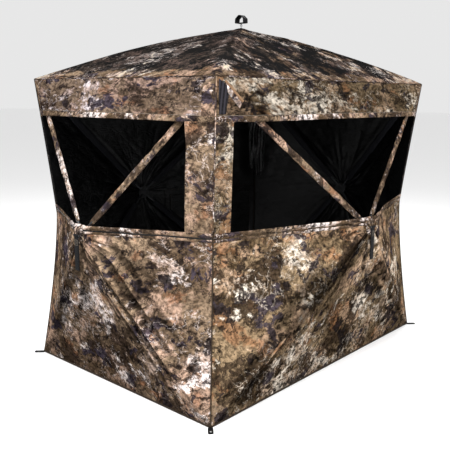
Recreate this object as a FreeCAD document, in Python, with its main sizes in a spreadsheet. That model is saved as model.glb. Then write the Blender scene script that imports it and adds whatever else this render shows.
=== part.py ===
import FreeCAD, Part
import math
import os
from FreeCAD import Placement, Rotation, Vector

# A hub-framed pop up ground blind. Origin: centre of the footprint on the ground, +Z up.
# The front wall faces -Y, the left wall -X, the right wall +X and the rear wall +Y.
# Every panel (four walls and the roof) has its own frame: +X across, +Y up, +Z outwards.

DIMENSIONS = [
    # footprint, eave and waist of the cloth shell
    ("foot_half_x", 925.0, "half the front wall's width at the ground"),
    ("foot_half_y", 645.0, "half the left wall's width at the ground"),
    ("eave_half_x", 905.0, "half the front wall's width at the eave"),
    ("eave_half_y", 650.0, "half the left wall's width at the eave"),
    ("waist_half_x", 846.0, "corner seam's pull-in, across"),
    ("waist_half_y", 580.0, "corner seam's pull-in, front to back"),
    ("eave_height", 1510.0, "ground to eave"),
    ("waist_height", 795.0, "ground to the narrowest part of the corner seams"),
    ("wall_hub_height", 800.0, "ground to the wall hubs"),
    ("peak_reach", 1795.0, "ground to the roof's peak"),
    ("front_reach", 865.0, "centre to the front and rear walls' peaks"),
    ("side_reach", 1125.0, "centre to the left and right walls' peaks"),
    ("roof_bow", 28.0, "rise of the bent roof poles over their chord"),
    # cloth
    ("cloth_thick", 1.5, "cloth panel thickness, lining included"),
    ("seam_gap", 2.5, "gap that the corner seam binding fills"),
    ("window_top", 1325.0, "ground to the windows' upper edge"),
    ("window_sill", 845.0, "ground to the windows' lower edge"),
    ("front_post_wide", 80.0, "near corner post on the front wall"),
    ("side_post_wide", 115.0, "near corner post on the left wall"),
    ("patch_long", 185.0, "top corner patch, down the seam"),
    ("patch_wide", 50.0, "top corner patch, across"),
    ("patch_drop", 4.0, "eave to the patch, down the seam"),
    ("patch_seam", 3.0, "corner seam's edge to the patch"),
    ("patch_shoulder", 37.0, "height of the patch's slanted top"),
    ("boot_long", 130.0, "bottom corner boot, up the seam"),
    ("boot_wide", 104.0, "bottom corner boot, along the pole"),
    ("trim_thick", 1.2, "patches, boots and zip tape"),
    ("trim_gap", 0.3, "between a panel and the trim on it"),
    ("hub_hole", 18.0, "half the width of the cloth's hole round the cap's stem"),
    # hubs
    ("hub_radius", 40.0, "moulded hub"),
    ("hub_thick", 12.0, "moulded hub"),
    ("hub_drop", 28.0, "panel peak to the hinge pins' plane"),
    ("pivot_radius", 30.0, "hub axis to a hinge pin"),
    ("slot_wide", 8.0, "hub slot that takes a pole's eye"),
    ("slot_start", 20.0, "hub axis to the slot's closed end"),
    ("pin_radius", 2.5, "hinge pin"),
    ("pin_long", 24.0, "hinge pin"),
    ("stem_radius", 8.0, "cap stem and the hub bore it is pressed into"),
    ("cap_radius", 28.0, "outer cap"),
    ("cap_thick", 4.0, "outer cap"),
    ("cap_rim", 1.8, "height of the outer cap's rim"),
    ("cap_crown", 21.0, "radius of the outer cap's flat crown"),
    ("cap_sink", 2.5, "cap underside below the panel's peak"),
    ("bar_radius", 3.0, "strap bar on a wall cap"),
    ("bar_rise", 8.0, "strap bar over the cap"),
    ("bar_half", 17.0, "half the clear width under the strap bar"),
    ("bar_post", 4.0, "strap bar's posts"),
    # poles
    ("rod_radius", 4.75, "fibreglass rod"),
    ("eye_radius", 6.0, "eye at the pole's inner end"),
    ("eye_wide", 7.0, "eye at the pole's inner end"),
    ("eye_clear", 0.1, "radial clearance round a hinge pin"),
    ("ferrule_radius", 7.0, "ferrule"),
    ("ferrule_start", 18.0, "pin to the ferrule"),
    ("ferrule_end", 62.0, "pin to the ferrule's outer end"),
    ("tang_root", 2.0, "length of the eye's tang inside the ferrule"),
    ("tip_radius", 6.5, "tip cap"),
    ("tip_long", 30.0, "tip cap"),
    ("tip_inset", 35.0, "corner to the tip, along the pole"),
    ("sleeve_radius", 16.0, "cloth sleeve round a pole that crosses a window"),
    ("sleeve_bore", 14.5, "inside of that sleeve"),
    ("sleeve_trim", 14.0, "sleeve's ends short of the ferrule and the top band"),
    # pull straps
    ("strap_wide", 28.0, "wall pull strap webbing"),
    ("strap_long", 165.0, "wall pull strap, bar to end"),
    ("strap_thick", 4.4, "doubled webbing"),
    ("strap_bore", 3.6, "strap's fold round the bar"),
    ("strap_point", 4.0, "length of the strap's pointed end"),
    ("pull_wide", 62.0, "roof pull loop"),
    ("pull_tall", 44.0, "roof pull loop"),
    ("pull_deep", 38.0, "roof pull webbing width"),
    ("pull_thick", 3.0, "roof pull webbing"),
    ("pull_shoulder", 24.0, "height of the roof pull's shoulders"),
    ("pull_shoulder_wide", 59.0, "roof pull across its shoulders"),
    ("pull_crown", 12.0, "roof pull across its crown"),
    ("eyelet_radius", 6.0, "roof eyelet, to the wire's centre"),
    ("eyelet_wire", 1.6, "roof eyelet wire radius"),
    ("eyelet_stem", 8.0, "roof eyelet stem"),
    ("eyelet_stem_radius", 2.1, "roof eyelet stem"),
    ("link_radius", 4.5, "link between eyelet and pull loop"),
    ("link_wire", 1.2, "link wire radius"),
    ("link_clear", 0.3, "between the link's wire and the eyelet's"),
    # stake tabs
    ("tab_start", 8.0, "corner to the stake tab, along the diagonal"),
    ("tab_long", 44.0, "stake tab"),
    ("tab_wide", 26.0, "stake tab"),
    ("tab_hole", 24.0, "stake tab's inner end to its hole"),
    ("tab_thick", 2.0, "stake tab"),
    ("grommet_bore", 6.0, "stake hole radius"),
    ("grommet_neck", 7.5, "grommet neck radius, the hole in the tab"),
    ("grommet_radius", 10.5, "grommet flange radius"),
    ("grommet_thick", 3.6, "grommet height"),
    # door
    ("door_margin", 35.0, "cloth left round the door opening"),
    ("door_gap", 4.0, "between the opening's edge and the door"),
    ("door_hub_gap", 0.2, "share of the gore left whole next to the hub"),
    ("tape_outer", 14.0, "gore edge to the zip tape"),
    ("tape_inner", 33.0, "gore edge to the zip tape's far side"),
    ("slider_long", 22.0, "zip slider"),
    ("slider_wide", 11.0, "zip slider"),
    ("slider_thick", 5.0, "zip slider"),
    ("slider_bevel", 1.2, "zip slider's bevelled top"),
    ("slider_start", 44.0, "hub end of the zip's long side to the slider"),
    ("slider_lift", 1.9, "gore to the slider's underside"),
    ("puller_long", 34.0, "zip puller"),
    ("puller_wide", 6.0, "zip puller"),
    ("puller_thick", 1.6, "zip puller"),
    ("puller_rise", 1.5, "slider's underside to the puller"),
    ("puller_root", 1.0, "length of the puller inside the slider"),
]

WALLS = ("front", "right", "rear", "left")
OUTWARDS = {
    "front": Vector(0, -1, 0),
    "right": Vector(1, 0, 0),
    "rear": Vector(0, 1, 0),
    "left": Vector(-1, 0, 0),
    "roof": Vector(0, 0, 1),
}
CORNERS = ("upper_left", "upper_right", "lower_right", "lower_left")
WINDOWED = ("front", "left")
DOOR_CORNER = ("rear", "left")
ROOF_STRIPS = 4

os.makedirs("parts", exist_ok=True)
doc = FreeCAD.newDocument("ground_blind")
sheet = doc.addObject("Spreadsheet::Sheet", "Dimensions")
for row, (alias, value, note) in enumerate(DIMENSIONS, start=1):
    sheet.set(f"A{row}", note)
    sheet.set(f"B{row}", str(value))
    sheet.setAlias(f"B{row}", alias)
doc.recompute()
nodes = []


def dim(name):
    """A driving dimension, in millimetres, read from the sheet."""
    return float(sheet.get(name))


def bind(item, **expressions):
    """Binds an object's properties to expressions on the sheet's aliases."""
    for prop, expression in expressions.items():
        item.setExpression(prop, expression)
    return item


def add(kind, name, placement=None, **expressions):
    item = doc.addObject(kind, name)
    bind(item, **expressions)
    if placement is not None:
        item.Placement = placement
    return item


def node(item, name, placement=None):
    """Registers an object as one sub-part: its Label names its file."""
    item.Label = name
    if placement is not None:
        item.Placement = placement
    nodes.append(item)
    return item


# ---------------------------------------------------------------- panel frames and outlines


def panel_frame(panel):
    """The panel's own frame: origin level with its hub on the blind's axis, +Z outwards."""
    out = OUTWARDS[panel]
    if panel == "roof":
        return Placement()
    up = Vector(0, 0, 1)
    across = up.cross(out)
    turn = Rotation(across, up, out, "ZXY")
    return Placement(Vector(0, 0, dim("wall_hub_height")), turn)


def reach(panel):
    """The panel's peak, measured outwards from its frame's origin."""
    if panel == "roof":
        return dim("peak_reach")
    return dim("front_reach" if panel in ("front", "rear") else "side_reach")


def peak(panel):
    return Vector(0, 0, reach(panel))


def wall_outline(panel):
    """Corner points of a wall in its frame: eave, waist and foot, right side then left."""
    across, out = ("x", "y") if panel in ("front", "rear") else ("y", "x")
    hub = dim("wall_hub_height")
    gap = dim("seam_gap")
    levels = {
        "eave": dim("eave_height") - hub - 2 * gap,
        "waist": dim("waist_height") - hub,
        "foot": -hub,
    }
    points = {}
    for level, up in levels.items():
        half = dim(f"{level}_half_{across}") - gap
        away = dim(f"{level}_half_{out}")
        points[level, "right"] = Vector(half, up, away)
        points[level, "left"] = Vector(-half, up, away)
    return points


def pole_corner(panel, corner):
    """The panel corner that a pole runs to, in the panel's frame."""
    level, side = corner.split("_")
    if panel != "roof":
        return wall_outline(panel)["eave" if level == "upper" else "foot", side]
    x = dim("eave_half_x") * (1 if side == "right" else -1)
    y = dim("eave_half_y") * (1 if level == "upper" else -1)
    return Vector(x, y, dim("eave_height"))


def pole_line(panel, corner):
    """Hinge pin centre and tip of a pole, in the panel's frame."""
    top, end = peak(panel), pole_corner(panel, corner)
    flat = Vector(end.x, end.y, 0)
    heading = Vector(flat).normalize()
    pin = heading * dim("pivot_radius") + Vector(0, 0, reach(panel) - dim("hub_drop"))
    slope = (top - end).z / flat.Length
    drop = dim("hub_drop") - dim("pivot_radius") * slope
    back = (top - end).normalize() * dim("tip_inset")
    tip = end + back - Vector(0, 0, drop)
    return pin, tip


def at_height(a, b, up):
    """The point of line a-b at that height in a panel's frame."""
    return a + (b - a) * ((up - a.y) / (b.y - a.y))


def across_gore(outline, point, distance):
    """Moves a point of a flat gore sideways by that distance, level and within the gore."""
    normal = (outline[1] - outline[0]).cross(outline[2] - outline[0])
    return point + Vector(distance, 0, -distance * normal.x / normal.z)


def inset(outline, distances):
    """The same flat outline with each side moved inwards. Side k runs from point k to the next."""
    count = len(outline)
    along = [(outline[(k + 1) % count] - outline[k]).normalize() for k in range(count)]
    normal = along[0].cross(along[1]).normalize()
    moved = []
    for k in range(count):
        sine = along[k - 1].cross(along[k]).dot(normal)
        shift = along[k] * distances[k - 1] - along[k - 1] * distances[k]
        moved.append(outline[k] + shift * (1 / sine))
    return moved


# ---------------------------------------------------------------- cloth


def flat_piece(outline, thick, lift=0.0):
    """A flat polygon made solid along the panel's outward axis, its outer face at lift."""
    raised = [p + Vector(0, 0, lift) for p in outline]
    face = Part.Face(Part.makePolygon(raised + [raised[0]]))
    return face.extrude(Vector(0, 0, -thick))


def cloth_node(name, panel_pieces):
    """A sewn cloth piece: its gores, each flat, placed in the blind's frame."""
    gores = []
    for panel, pieces in panel_pieces:
        frame = panel_frame(panel).toMatrix()
        gores += [piece.transformed(frame) for piece in pieces]
    item = doc.addObject("Part::Feature", name)
    item.Shape = Part.makeCompound(gores)
    return node(item, name)


def hole_points(panel):
    """The outline of the cloth's hole round the hub's stem, by outline point."""
    top, outline = peak(panel), wall_outline(panel)
    share = dim("hub_hole") / outline["eave", "right"].x
    return {key: top + (p - top) * share for key, p in outline.items()}


def band_gores(panel):
    """The band between the eave and the window's upper edge."""
    p, top = wall_outline(panel), peak(panel)
    edge = dim("window_top") - dim("wall_hub_height")
    left_pole = at_height(top, p["eave", "left"], edge)
    right_pole = at_height(top, p["eave", "right"], edge)
    left_seam = at_height(p["eave", "left"], p["waist", "left"], edge)
    right_seam = at_height(p["eave", "right"], p["waist", "right"], edge)
    return [
        [p["eave", "left"], left_pole, right_pole, p["eave", "right"]],
        [p["eave", "right"], right_pole, right_seam],
        [p["eave", "left"], left_seam, left_pole],
    ]


def lower_gores(panel, sill=None):
    """The wall's gores up to the sill, or up to the eave where there is no window."""
    p, hole, top = wall_outline(panel), hole_points(panel), peak(panel)
    gores = []
    for side in ("left", "right"):
        if sill is None:
            high = [p["eave", side]]
        else:
            high = [
                at_height(top, p["eave", side], sill),
                at_height(p["eave", side], p["waist", side], sill),
            ]
        gores.append([hole["eave", side], *high, p["waist", side], hole["waist", side]])
    gores.append([hole["waist", "right"], p["waist", "right"], p["foot", "right"], hole["foot", "right"]])
    gores.append([hole["foot", "right"], p["foot", "right"], p["foot", "left"], hole["foot", "left"]])
    gores.append([hole["foot", "left"], p["foot", "left"], p["waist", "left"], hole["waist", "left"]])
    sides = ("left", "right")
    if sill is None:
        left, right = (p["eave", side] for side in sides)
    else:
        left, right = (at_height(top, p["eave", side], sill) for side in sides)
    gores.append([hole["eave", "left"], left, right, hole["eave", "right"]])
    return gores


def post_gore(panel, side, wide):
    """The strip of cloth that joins band and lower panel at the near corner."""
    p = wall_outline(panel)
    gore = [p["eave", side], p["waist", side], peak(panel)]
    inward = wide if side == "left" else -wide
    hub = dim("wall_hub_height")
    high, low = (dim("window_top") - hub, dim("window_sill") - hub)
    ends = [at_height(gore[0], gore[1], up) for up in (high, low)]
    return [
        ends[0],
        ends[1],
        across_gore(gore, ends[1], inward),
        across_gore(gore, ends[0], inward),
    ]


def solid_gores(outlines):
    return [flat_piece(outline, dim("cloth_thick")) for outline in outlines]


def door_outline():
    """The rear wall's gore between waist, foot and hub, beside the far corner, without its tip."""
    p, top = wall_outline("rear"), peak("rear")
    keep = dim("door_hub_gap")
    waist, foot = p["waist", "left"], p["foot", "left"]
    return [waist, foot, top + (foot - top) * keep, top + (waist - top) * keep]


def rear_gores():
    """The closed rear wall, with an opening in one lower gore for the door."""
    hole = hole_points("rear")
    outer = door_outline()
    inner = inset(outer, [dim("door_margin")] * 4)
    whole = lower_gores("rear")
    del whole[4]
    frame = [
        [outer[k], outer[(k + 1) % 4], inner[(k + 1) % 4], inner[k]] for k in range(4)
    ]
    hub_end = [outer[3], outer[2], hole["foot", "left"], hole["waist", "left"]]
    return whole + frame + [hub_end]


def ridge_point(corner, share):
    """A point of the roof's ridge, from the peak (0) to a corner (1). The ridge is bowed up."""
    top, end = peak("roof"), pole_corner("roof", corner)
    rise = 4 * dim("roof_bow") * share * (1 - share)
    return top + (end - top) * share + Vector(0, 0, rise)


def roof_gores():
    """Four gores between the bowed ridges, each a run of flat strips."""
    hole = dim("hub_hole") / dim("eave_half_x")
    shares = [hole] + [k / ROOF_STRIPS for k in range(1, ROOF_STRIPS + 1)]
    gores = []
    for k, corner in enumerate(CORNERS):
        other = CORNERS[(k + 1) % 4]
        for inner, outer in zip(shares, shares[1:]):
            gores.append(
                [
                    ridge_point(corner, inner),
                    ridge_point(corner, outer),
                    ridge_point(other, outer),
                    ridge_point(other, inner),
                ]
            )
    return gores


def patch_outline(panel, side):
    """A narrow patch down the corner seam from the eave."""
    p = wall_outline(panel)
    gore = [p["eave", side], p["waist", side], peak(panel)]
    down = (gore[1] - gore[0]).normalize()
    inward = 1 if side == "left" else -1
    start = across_gore(gore, gore[0] + down * dim("patch_drop"), dim("patch_seam") * inward)
    end = start + down * dim("patch_long")
    wide = dim("patch_wide") * inward
    shoulder = start + down * dim("patch_shoulder")
    return [start, end, across_gore(gore, end, wide), across_gore(gore, shoulder, wide)]


def boot_outline(panel, side):
    """A three-cornered reinforcement at the foot of a corner seam."""
    p = wall_outline(panel)
    foot = p["foot", side]
    seam = foot + (p["waist", side] - foot).normalize() * dim("boot_long")
    pole = foot + (peak(panel) - foot).normalize() * dim("boot_wide")
    return [foot, pole, seam]


def trim_pieces(outlines):
    thick = dim("trim_thick")
    return [flat_piece(outline, thick, dim("trim_gap") + thick) for outline in outlines]


def build_cloth():
    sill = dim("window_sill") - dim("wall_hub_height")
    cloth_node("roof_panel", [("roof", solid_gores(roof_gores()))])
    for panel in WINDOWED:
        cloth_node(f"{panel}_top_band", [(panel, solid_gores(band_gores(panel)))])
        cloth_node(f"{panel}_lower_panel", [(panel, solid_gores(lower_gores(panel, sill)))])
    posts = [
        ("front", solid_gores([post_gore("front", "left", dim("front_post_wide"))])),
        ("left", solid_gores([post_gore("left", "right", dim("side_post_wide"))])),
    ]
    cloth_node("near_corner_post", posts)
    cloth_node("right_wall_panel", [("right", solid_gores(lower_gores("right")))])
    cloth_node("rear_wall_panel", [("rear", solid_gores(rear_gores()))])
    sides = ("left", "right")
    patches = [(w, trim_pieces([patch_outline(w, s) for s in sides])) for w in WALLS]
    cloth_node("top_corner_patches", patches)
    feet = [(w, s) for w in WALLS for s in sides if (w, s) != DOOR_CORNER]
    boots = [(w, trim_pieces([boot_outline(w, s)])) for w, s in feet]
    cloth_node("bottom_corner_boots", boots)


# ---------------------------------------------------------------- door


def build_door():
    outer = door_outline()
    opening = dim("door_margin") + dim("door_gap")
    cloth_node("door_panel", [("rear", solid_gores([inset(outer, [opening] * 4)]))])
    rim, core = (inset(outer, [dim(name)] * 4) for name in ("tape_outer", "tape_inner"))
    strips = [[rim[k], rim[(k + 1) % 4], core[(k + 1) % 4], core[k]] for k in (1, 2, 3)]
    cloth_node("door_zip_tape", [("rear", trim_pieces(strips))])
    build_slider()


def slider_frame():
    """The zip slider's place: on the tape's long side, near its hub end, +X towards the foot."""
    outer = door_outline()
    middle = (dim("tape_outer") + dim("tape_inner")) / 2
    track = inset(outer, [middle] * 4)
    along = (track[1] - track[2]).normalize()
    normal = (outer[1] - outer[0]).cross(outer[2] - outer[1]).normalize()
    if normal.z < 0:
        normal = normal * -1
    start = track[2] + along * dim("slider_start") + normal * dim("slider_lift")
    turn = Rotation(along, normal.cross(along), normal, "ZXY")
    return panel_frame("rear") * Placement(start, turn)


def build_slider():
    """Zip slider: a rounded body with a flat puller lying along the tape."""
    body = doc.addObject("PartDesign::Body", "slider_body")
    sketch = flat_sketch(body, "slider_outline", "XY_Plane")
    half_long, half_wide = dim("slider_long") / 2, dim("slider_wide") / 2
    rectangle(sketch, -half_long, -half_wide, half_long, half_wide)
    pad = body.newObject("PartDesign::Pad", "slider_pad")
    pad.Profile = sketch
    bind(pad, Length="Dimensions.slider_thick")
    doc.recompute()
    bevel = body.newObject("PartDesign::Chamfer", "slider_bevel")
    bevel.Base = (pad, ["Face6"])
    bind(bevel, Size="Dimensions.slider_bevel")
    tongue = flat_sketch(body, "puller_outline", "XY_Plane")
    edge = dim("puller_wide") / 2
    rectangle(tongue, half_long - dim("puller_root"), -edge, half_long + dim("puller_long"), edge)
    tongue.AttachmentOffset = Placement(Vector(0, 0, dim("puller_rise")), Rotation())
    puller = body.newObject("PartDesign::Pad", "puller_pad")
    puller.Profile = tongue
    bind(puller, Length="Dimensions.puller_thick")
    node(body, "door_zip_slider", slider_frame())


# ---------------------------------------------------------------- sketches


def flat_sketch(body, name, role):
    """A sketch on one of the body's own origin planes."""
    sketch = body.newObject("Sketcher::SketchObject", name)
    plane = [f for f in body.Origin.OriginFeatures if f.Role == role][0]
    sketch.AttachmentSupport = [(plane, "")]
    sketch.MapMode = "FlatFace"
    return sketch


def closed_outline(sketch, points):
    for a, b in zip(points, points[1:] + points[:1]):
        sketch.addGeometry(Part.LineSegment(Vector(*a, 0), Vector(*b, 0)))


def rectangle(sketch, x0, y0, x1, y1):
    closed_outline(sketch, [(x0, y0), (x1, y0), (x1, y1), (x0, y1)])


def revolved(name, outline):
    """A body turned about its own Z axis from a profile in the XZ plane: (radius, height)."""
    body = doc.addObject("PartDesign::Body", name)
    sketch = flat_sketch(body, f"{name}_profile", "XZ_Plane")
    closed_outline(sketch, outline)
    turned = body.newObject("PartDesign::Revolution", f"{name}_turned")
    turned.Profile = sketch
    turned.ReferenceAxis = (sketch, ["V_Axis"])
    turned.Angle = 360
    return body


def padded(name, outline, length):
    """A body padded evenly both ways from a profile in its YZ plane."""
    body = doc.addObject("PartDesign::Body", name)
    sketch = flat_sketch(body, f"{name}_profile", "YZ_Plane")
    for loop in outline:
        closed_outline(sketch, loop)
    pad = body.newObject("PartDesign::Pad", f"{name}_pad")
    pad.Profile = sketch
    pad.Midplane = True
    bind(pad, Length=length)
    return body


# ---------------------------------------------------------------- hubs


def in_panel(panel, height, heading=0.0):
    """A place on the panel's axis at that height, turned about the axis by heading degrees."""
    turn = Rotation(Vector(0, 0, 1), heading)
    return panel_frame(panel) * Placement(Vector(0, 0, height), turn)


def headings(panel):
    """Direction of each pole in the panel's frame, in degrees."""
    ends = [pole_corner(panel, corner) for corner in CORNERS]
    return [math.degrees(math.atan2(end.y, end.x)) for end in ends]


def build_hub(panel):
    """Moulded hub: a disc with a bore for the cap's stem and a slot and pin hole per pole."""
    plane = reach(panel) - dim("hub_drop")
    floor = in_panel(panel, plane - dim("hub_thick") / 2)
    disc = add(
        "Part::Cylinder",
        f"{panel}_hub_disc",
        floor,
        Radius="Dimensions.hub_radius",
        Height="Dimensions.hub_thick",
    )
    cuts = [
        add(
            "Part::Cylinder",
            f"{panel}_hub_bore",
            floor,
            Radius="Dimensions.stem_radius",
            Height="Dimensions.hub_thick",
        )
    ]
    pins = []
    for k, heading in enumerate(headings(panel)):
        shift = Vector(dim("slot_start"), -dim("slot_wide") / 2, 0)
        turned = in_panel(panel, plane - dim("hub_thick") / 2, heading)
        slot = add(
            "Part::Box",
            f"{panel}_hub_slot_{k}",
            turned * Placement(shift, Rotation()),
            Length="Dimensions.hub_radius",
            Width="Dimensions.slot_wide",
            Height="Dimensions.hub_thick",
        )
        lying = Rotation(Vector(1, 0, 0), 90)
        centre = Vector(dim("pivot_radius"), dim("pin_long") / 2, 0)
        across = in_panel(panel, plane, heading) * Placement(centre, lying)
        hole, pin = (
            add(
                "Part::Cylinder",
                f"{panel}_hub_{what}_{k}",
                across,
                Radius="Dimensions.pin_radius",
                Height="Dimensions.pin_long",
            )
            for what in ("pin_hole", "pin")
        )
        cuts += [slot, hole]
        pins.append(pin)
    tool = doc.addObject("Part::MultiFuse", f"{panel}_hub_cuts")
    tool.Shapes = cuts
    hub = doc.addObject("Part::Cut", f"{panel}_hub")
    hub.Base, hub.Tool = disc, tool
    node(hub, f"{panel}_hub")
    group = doc.addObject("Part::Compound", f"{panel}_hub_pins")
    group.Links = pins
    node(group, f"{panel}_hub_pins")


def build_cap(panel):
    """Outer cap: a low dome with a stem through the cloth into the hub. Wall caps carry a bar."""
    radius, thick, stem = dim("cap_radius"), dim("cap_thick"), dim("stem_radius")
    bottom = dim("cap_sink") - dim("hub_drop") - dim("hub_thick") / 2
    outline = [
        (0, bottom),
        (stem, bottom),
        (stem, 0),
        (radius, 0),
        (radius, dim("cap_rim")),
        (dim("cap_crown"), thick),
        (0, thick),
    ]
    body = revolved(f"{panel}_cap_turned", outline)
    seat = in_panel(panel, reach(panel) - dim("cap_sink"))
    if panel == "roof":
        node(body, f"{panel}_hub_cap", seat)
        return
    body.Placement = seat
    pieces = [body]
    post = dim("bar_post")
    for side in (-1, 1):
        edge = side * (dim("bar_half") + post / 2) - post / 2
        pieces.append(
            add(
                "Part::Box",
                f"{panel}_bar_post_{'right' if side > 0 else 'left'}",
                seat * Placement(Vector(edge, -post, thick / 2), Rotation()),
                Length="Dimensions.bar_post",
                Width="Dimensions.bar_post * 2",
                Height="Dimensions.cap_thick / 2 + Dimensions.bar_rise + Dimensions.bar_radius",
            )
        )
    start = Vector(-dim("bar_half") - post / 2, 0, thick + dim("bar_rise"))
    pieces.append(
        add(
            "Part::Cylinder",
            f"{panel}_strap_bar",
            seat * Placement(start, Rotation(Vector(0, 1, 0), 90)),
            Radius="Dimensions.bar_radius",
            Height="2 * Dimensions.bar_half + Dimensions.bar_post",
        )
    )
    cap = doc.addObject("Part::MultiFuse", f"{panel}_hub_cap")
    cap.Shapes = pieces
    node(cap, f"{panel}_hub_cap")


def strap_axis_height(panel):
    """The strap bar's height on the panel's axis."""
    return reach(panel) - dim("cap_sink") + dim("cap_thick") + dim("bar_rise")


def build_wall_strap(panel):
    """Doubled webbing folded round the cap's bar and stitched flat, hanging straight down."""
    half = dim("strap_thick") / 2
    fold = add(
        "Part::Cylinder",
        f"{panel}_strap_fold",
        Radius="Dimensions.strap_bore + Dimensions.strap_thick / 2",
        Height="Dimensions.strap_wide",
    )
    bore = add(
        "Part::Cylinder",
        f"{panel}_strap_bore",
        Radius="Dimensions.strap_bore",
        Height="Dimensions.strap_wide",
    )
    lying = Rotation(Vector(0, 1, 0), 90)
    seat = in_panel(panel, strap_axis_height(panel))
    fold.Placement = bore.Placement = seat * Placement(Vector(-dim("strap_wide") / 2, 0, 0), lying)
    start, end = dim("strap_bore"), dim("strap_long")
    neck = end - dim("strap_point")
    outline = [(-start, -half), (-start, half), (-neck, half), (-end, 0), (-neck, -half)]
    tail = padded(f"{panel}_strap_tail", [outline], "Dimensions.strap_wide")
    tail.Placement = seat
    whole = doc.addObject("Part::MultiFuse", f"{panel}_strap_blank")
    whole.Shapes = [fold, tail]
    strap = doc.addObject("Part::Cut", f"{panel}_pull_strap")
    strap.Base, strap.Tool = whole, bore
    node(strap, f"{panel}_pull_strap")


def eyelet_height():
    """Centre of the roof eyelet's ring on the roof's axis."""
    top = reach("roof") - dim("cap_sink") + dim("cap_thick")
    return top + dim("eyelet_stem") + dim("eyelet_radius")


def build_roof_pull():
    """A wire eyelet on the roof cap, and a stiff webbing loop that stands on it by a link."""
    cap_top = reach("roof") - dim("cap_sink") + dim("cap_thick")
    stem = add(
        "Part::Cylinder",
        "eyelet_stem_wire",
        in_panel("roof", cap_top),
        Radius="Dimensions.eyelet_stem_radius",
        Height="Dimensions.eyelet_stem",
    )
    ring_place = in_panel("roof", eyelet_height()) * Placement(Vector(), Rotation(Vector(0, 1, 0), 90))
    ring = add(
        "Part::Torus",
        "eyelet_ring_wire",
        ring_place,
        Radius1="Dimensions.eyelet_radius",
        Radius2="Dimensions.eyelet_wire",
    )
    eyelet = doc.addObject("Part::MultiFuse", "roof_eyelet")
    eyelet.Shapes = [stem, ring]
    node(eyelet, "roof_eyelet")

    rise = dim("eyelet_radius") - dim("eyelet_wire") - dim("link_wire") - dim("link_clear")
    link_height = eyelet_height() + rise + dim("link_radius")
    link_place = in_panel("roof", link_height) * Placement(Vector(), Rotation(Vector(1, 0, 0), 90))
    link = add(
        "Part::Torus",
        "pull_link_wire",
        link_place,
        Radius1="Dimensions.link_radius",
        Radius2="Dimensions.link_wire",
    )
    right = [
        Vector(dim("pull_wide") / 2, 0, 0),
        Vector(dim("pull_shoulder_wide") / 2, dim("pull_shoulder"), 0),
        Vector(dim("pull_crown") / 2, dim("pull_tall"), 0),
    ]
    left = [Vector(-p.x, p.y, 0) for p in reversed(right)]
    outer = right + left
    inner = inset(outer, [dim("pull_thick")] * len(outer))
    loops = [[(p.x, p.y) for p in loop] for loop in (outer, inner)]
    loop = padded("roof_pull_loop", loops, "Dimensions.pull_deep")
    loop.Placement = in_panel("roof", link_height + dim("link_radius"))
    pull = doc.addObject("Part::MultiFuse", "roof_pull_strap")
    pull.Shapes = [loop, link]
    node(pull, "roof_pull_strap")


# ---------------------------------------------------------------- poles


def pole_frame(panel, corner):
    """A pole's frame: origin at its hinge pin, +X along the pole, +Y along the pin."""
    pin, tip = pole_line(panel, corner)
    along = (tip - pin).normalize()
    side = Vector(0, 0, 1).cross(Vector(along.x, along.y, 0)).normalize()
    turn = Rotation(along, side, along.cross(side), "ZXY")
    return panel_frame(panel) * Placement(pin, turn), (tip - pin).Length


def build_pole(panel, corner):
    """One pole: a metal eye and ferrule, a fibreglass rod and a moulded tip, end to end."""
    name = f"{panel}_pole_{corner}"
    frame, length = pole_frame(panel, corner)
    lying, on_end = Rotation(Vector(1, 0, 0), 90), Rotation(Vector(0, 1, 0), 90)
    eye_place = frame * Placement(Vector(0, dim("eye_wide") / 2, 0), lying)
    eye = add(
        "Part::Cylinder",
        f"{name}_eye",
        eye_place,
        Radius="Dimensions.eye_radius",
        Height="Dimensions.eye_wide",
    )
    corner_point = Vector(0, -dim("eye_wide") / 2, -dim("eye_radius"))
    tang = add(
        "Part::Box",
        f"{name}_tang",
        frame * Placement(corner_point, Rotation()),
        Length="Dimensions.ferrule_start + Dimensions.tang_root",
        Width="Dimensions.eye_wide",
        Height="2 * Dimensions.eye_radius",
    )
    tube = add(
        "Part::Cylinder",
        f"{name}_ferrule",
        frame * Placement(Vector(dim("ferrule_start"), 0, 0), on_end),
        Radius="Dimensions.ferrule_radius",
        Height="Dimensions.ferrule_end - Dimensions.ferrule_start",
    )
    fitting = doc.addObject("Part::MultiFuse", f"{name}_fitting_blank")
    fitting.Shapes = [eye, tang, tube]
    hole = add(
        "Part::Cylinder",
        f"{name}_eye_hole",
        eye_place,
        Radius="Dimensions.pin_radius + Dimensions.eye_clear",
        Height="Dimensions.eye_wide",
    )
    bored = doc.addObject("Part::Cut", f"{name}_fitting")
    bored.Base, bored.Tool = fitting, hole
    rod = rod_piece(panel, name, frame, length)
    tip = add(
        "Part::Cylinder",
        f"{name}_tip",
        tip_frame(panel, frame, length),
        Radius="Dimensions.tip_radius",
        Height="Dimensions.tip_long",
    )
    whole = doc.addObject("Part::Compound", name)
    whole.Links = [bored, rod, tip]
    node(whole, name)


def rod_arc(length):
    """Radius and half angle of the bent rod between ferrule and tip."""
    chord = length - dim("ferrule_end") - dim("tip_long")
    bow = dim("roof_bow")
    radius = chord * chord / (8 * bow) + bow / 2
    return radius, math.asin(chord / 2 / radius)


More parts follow.
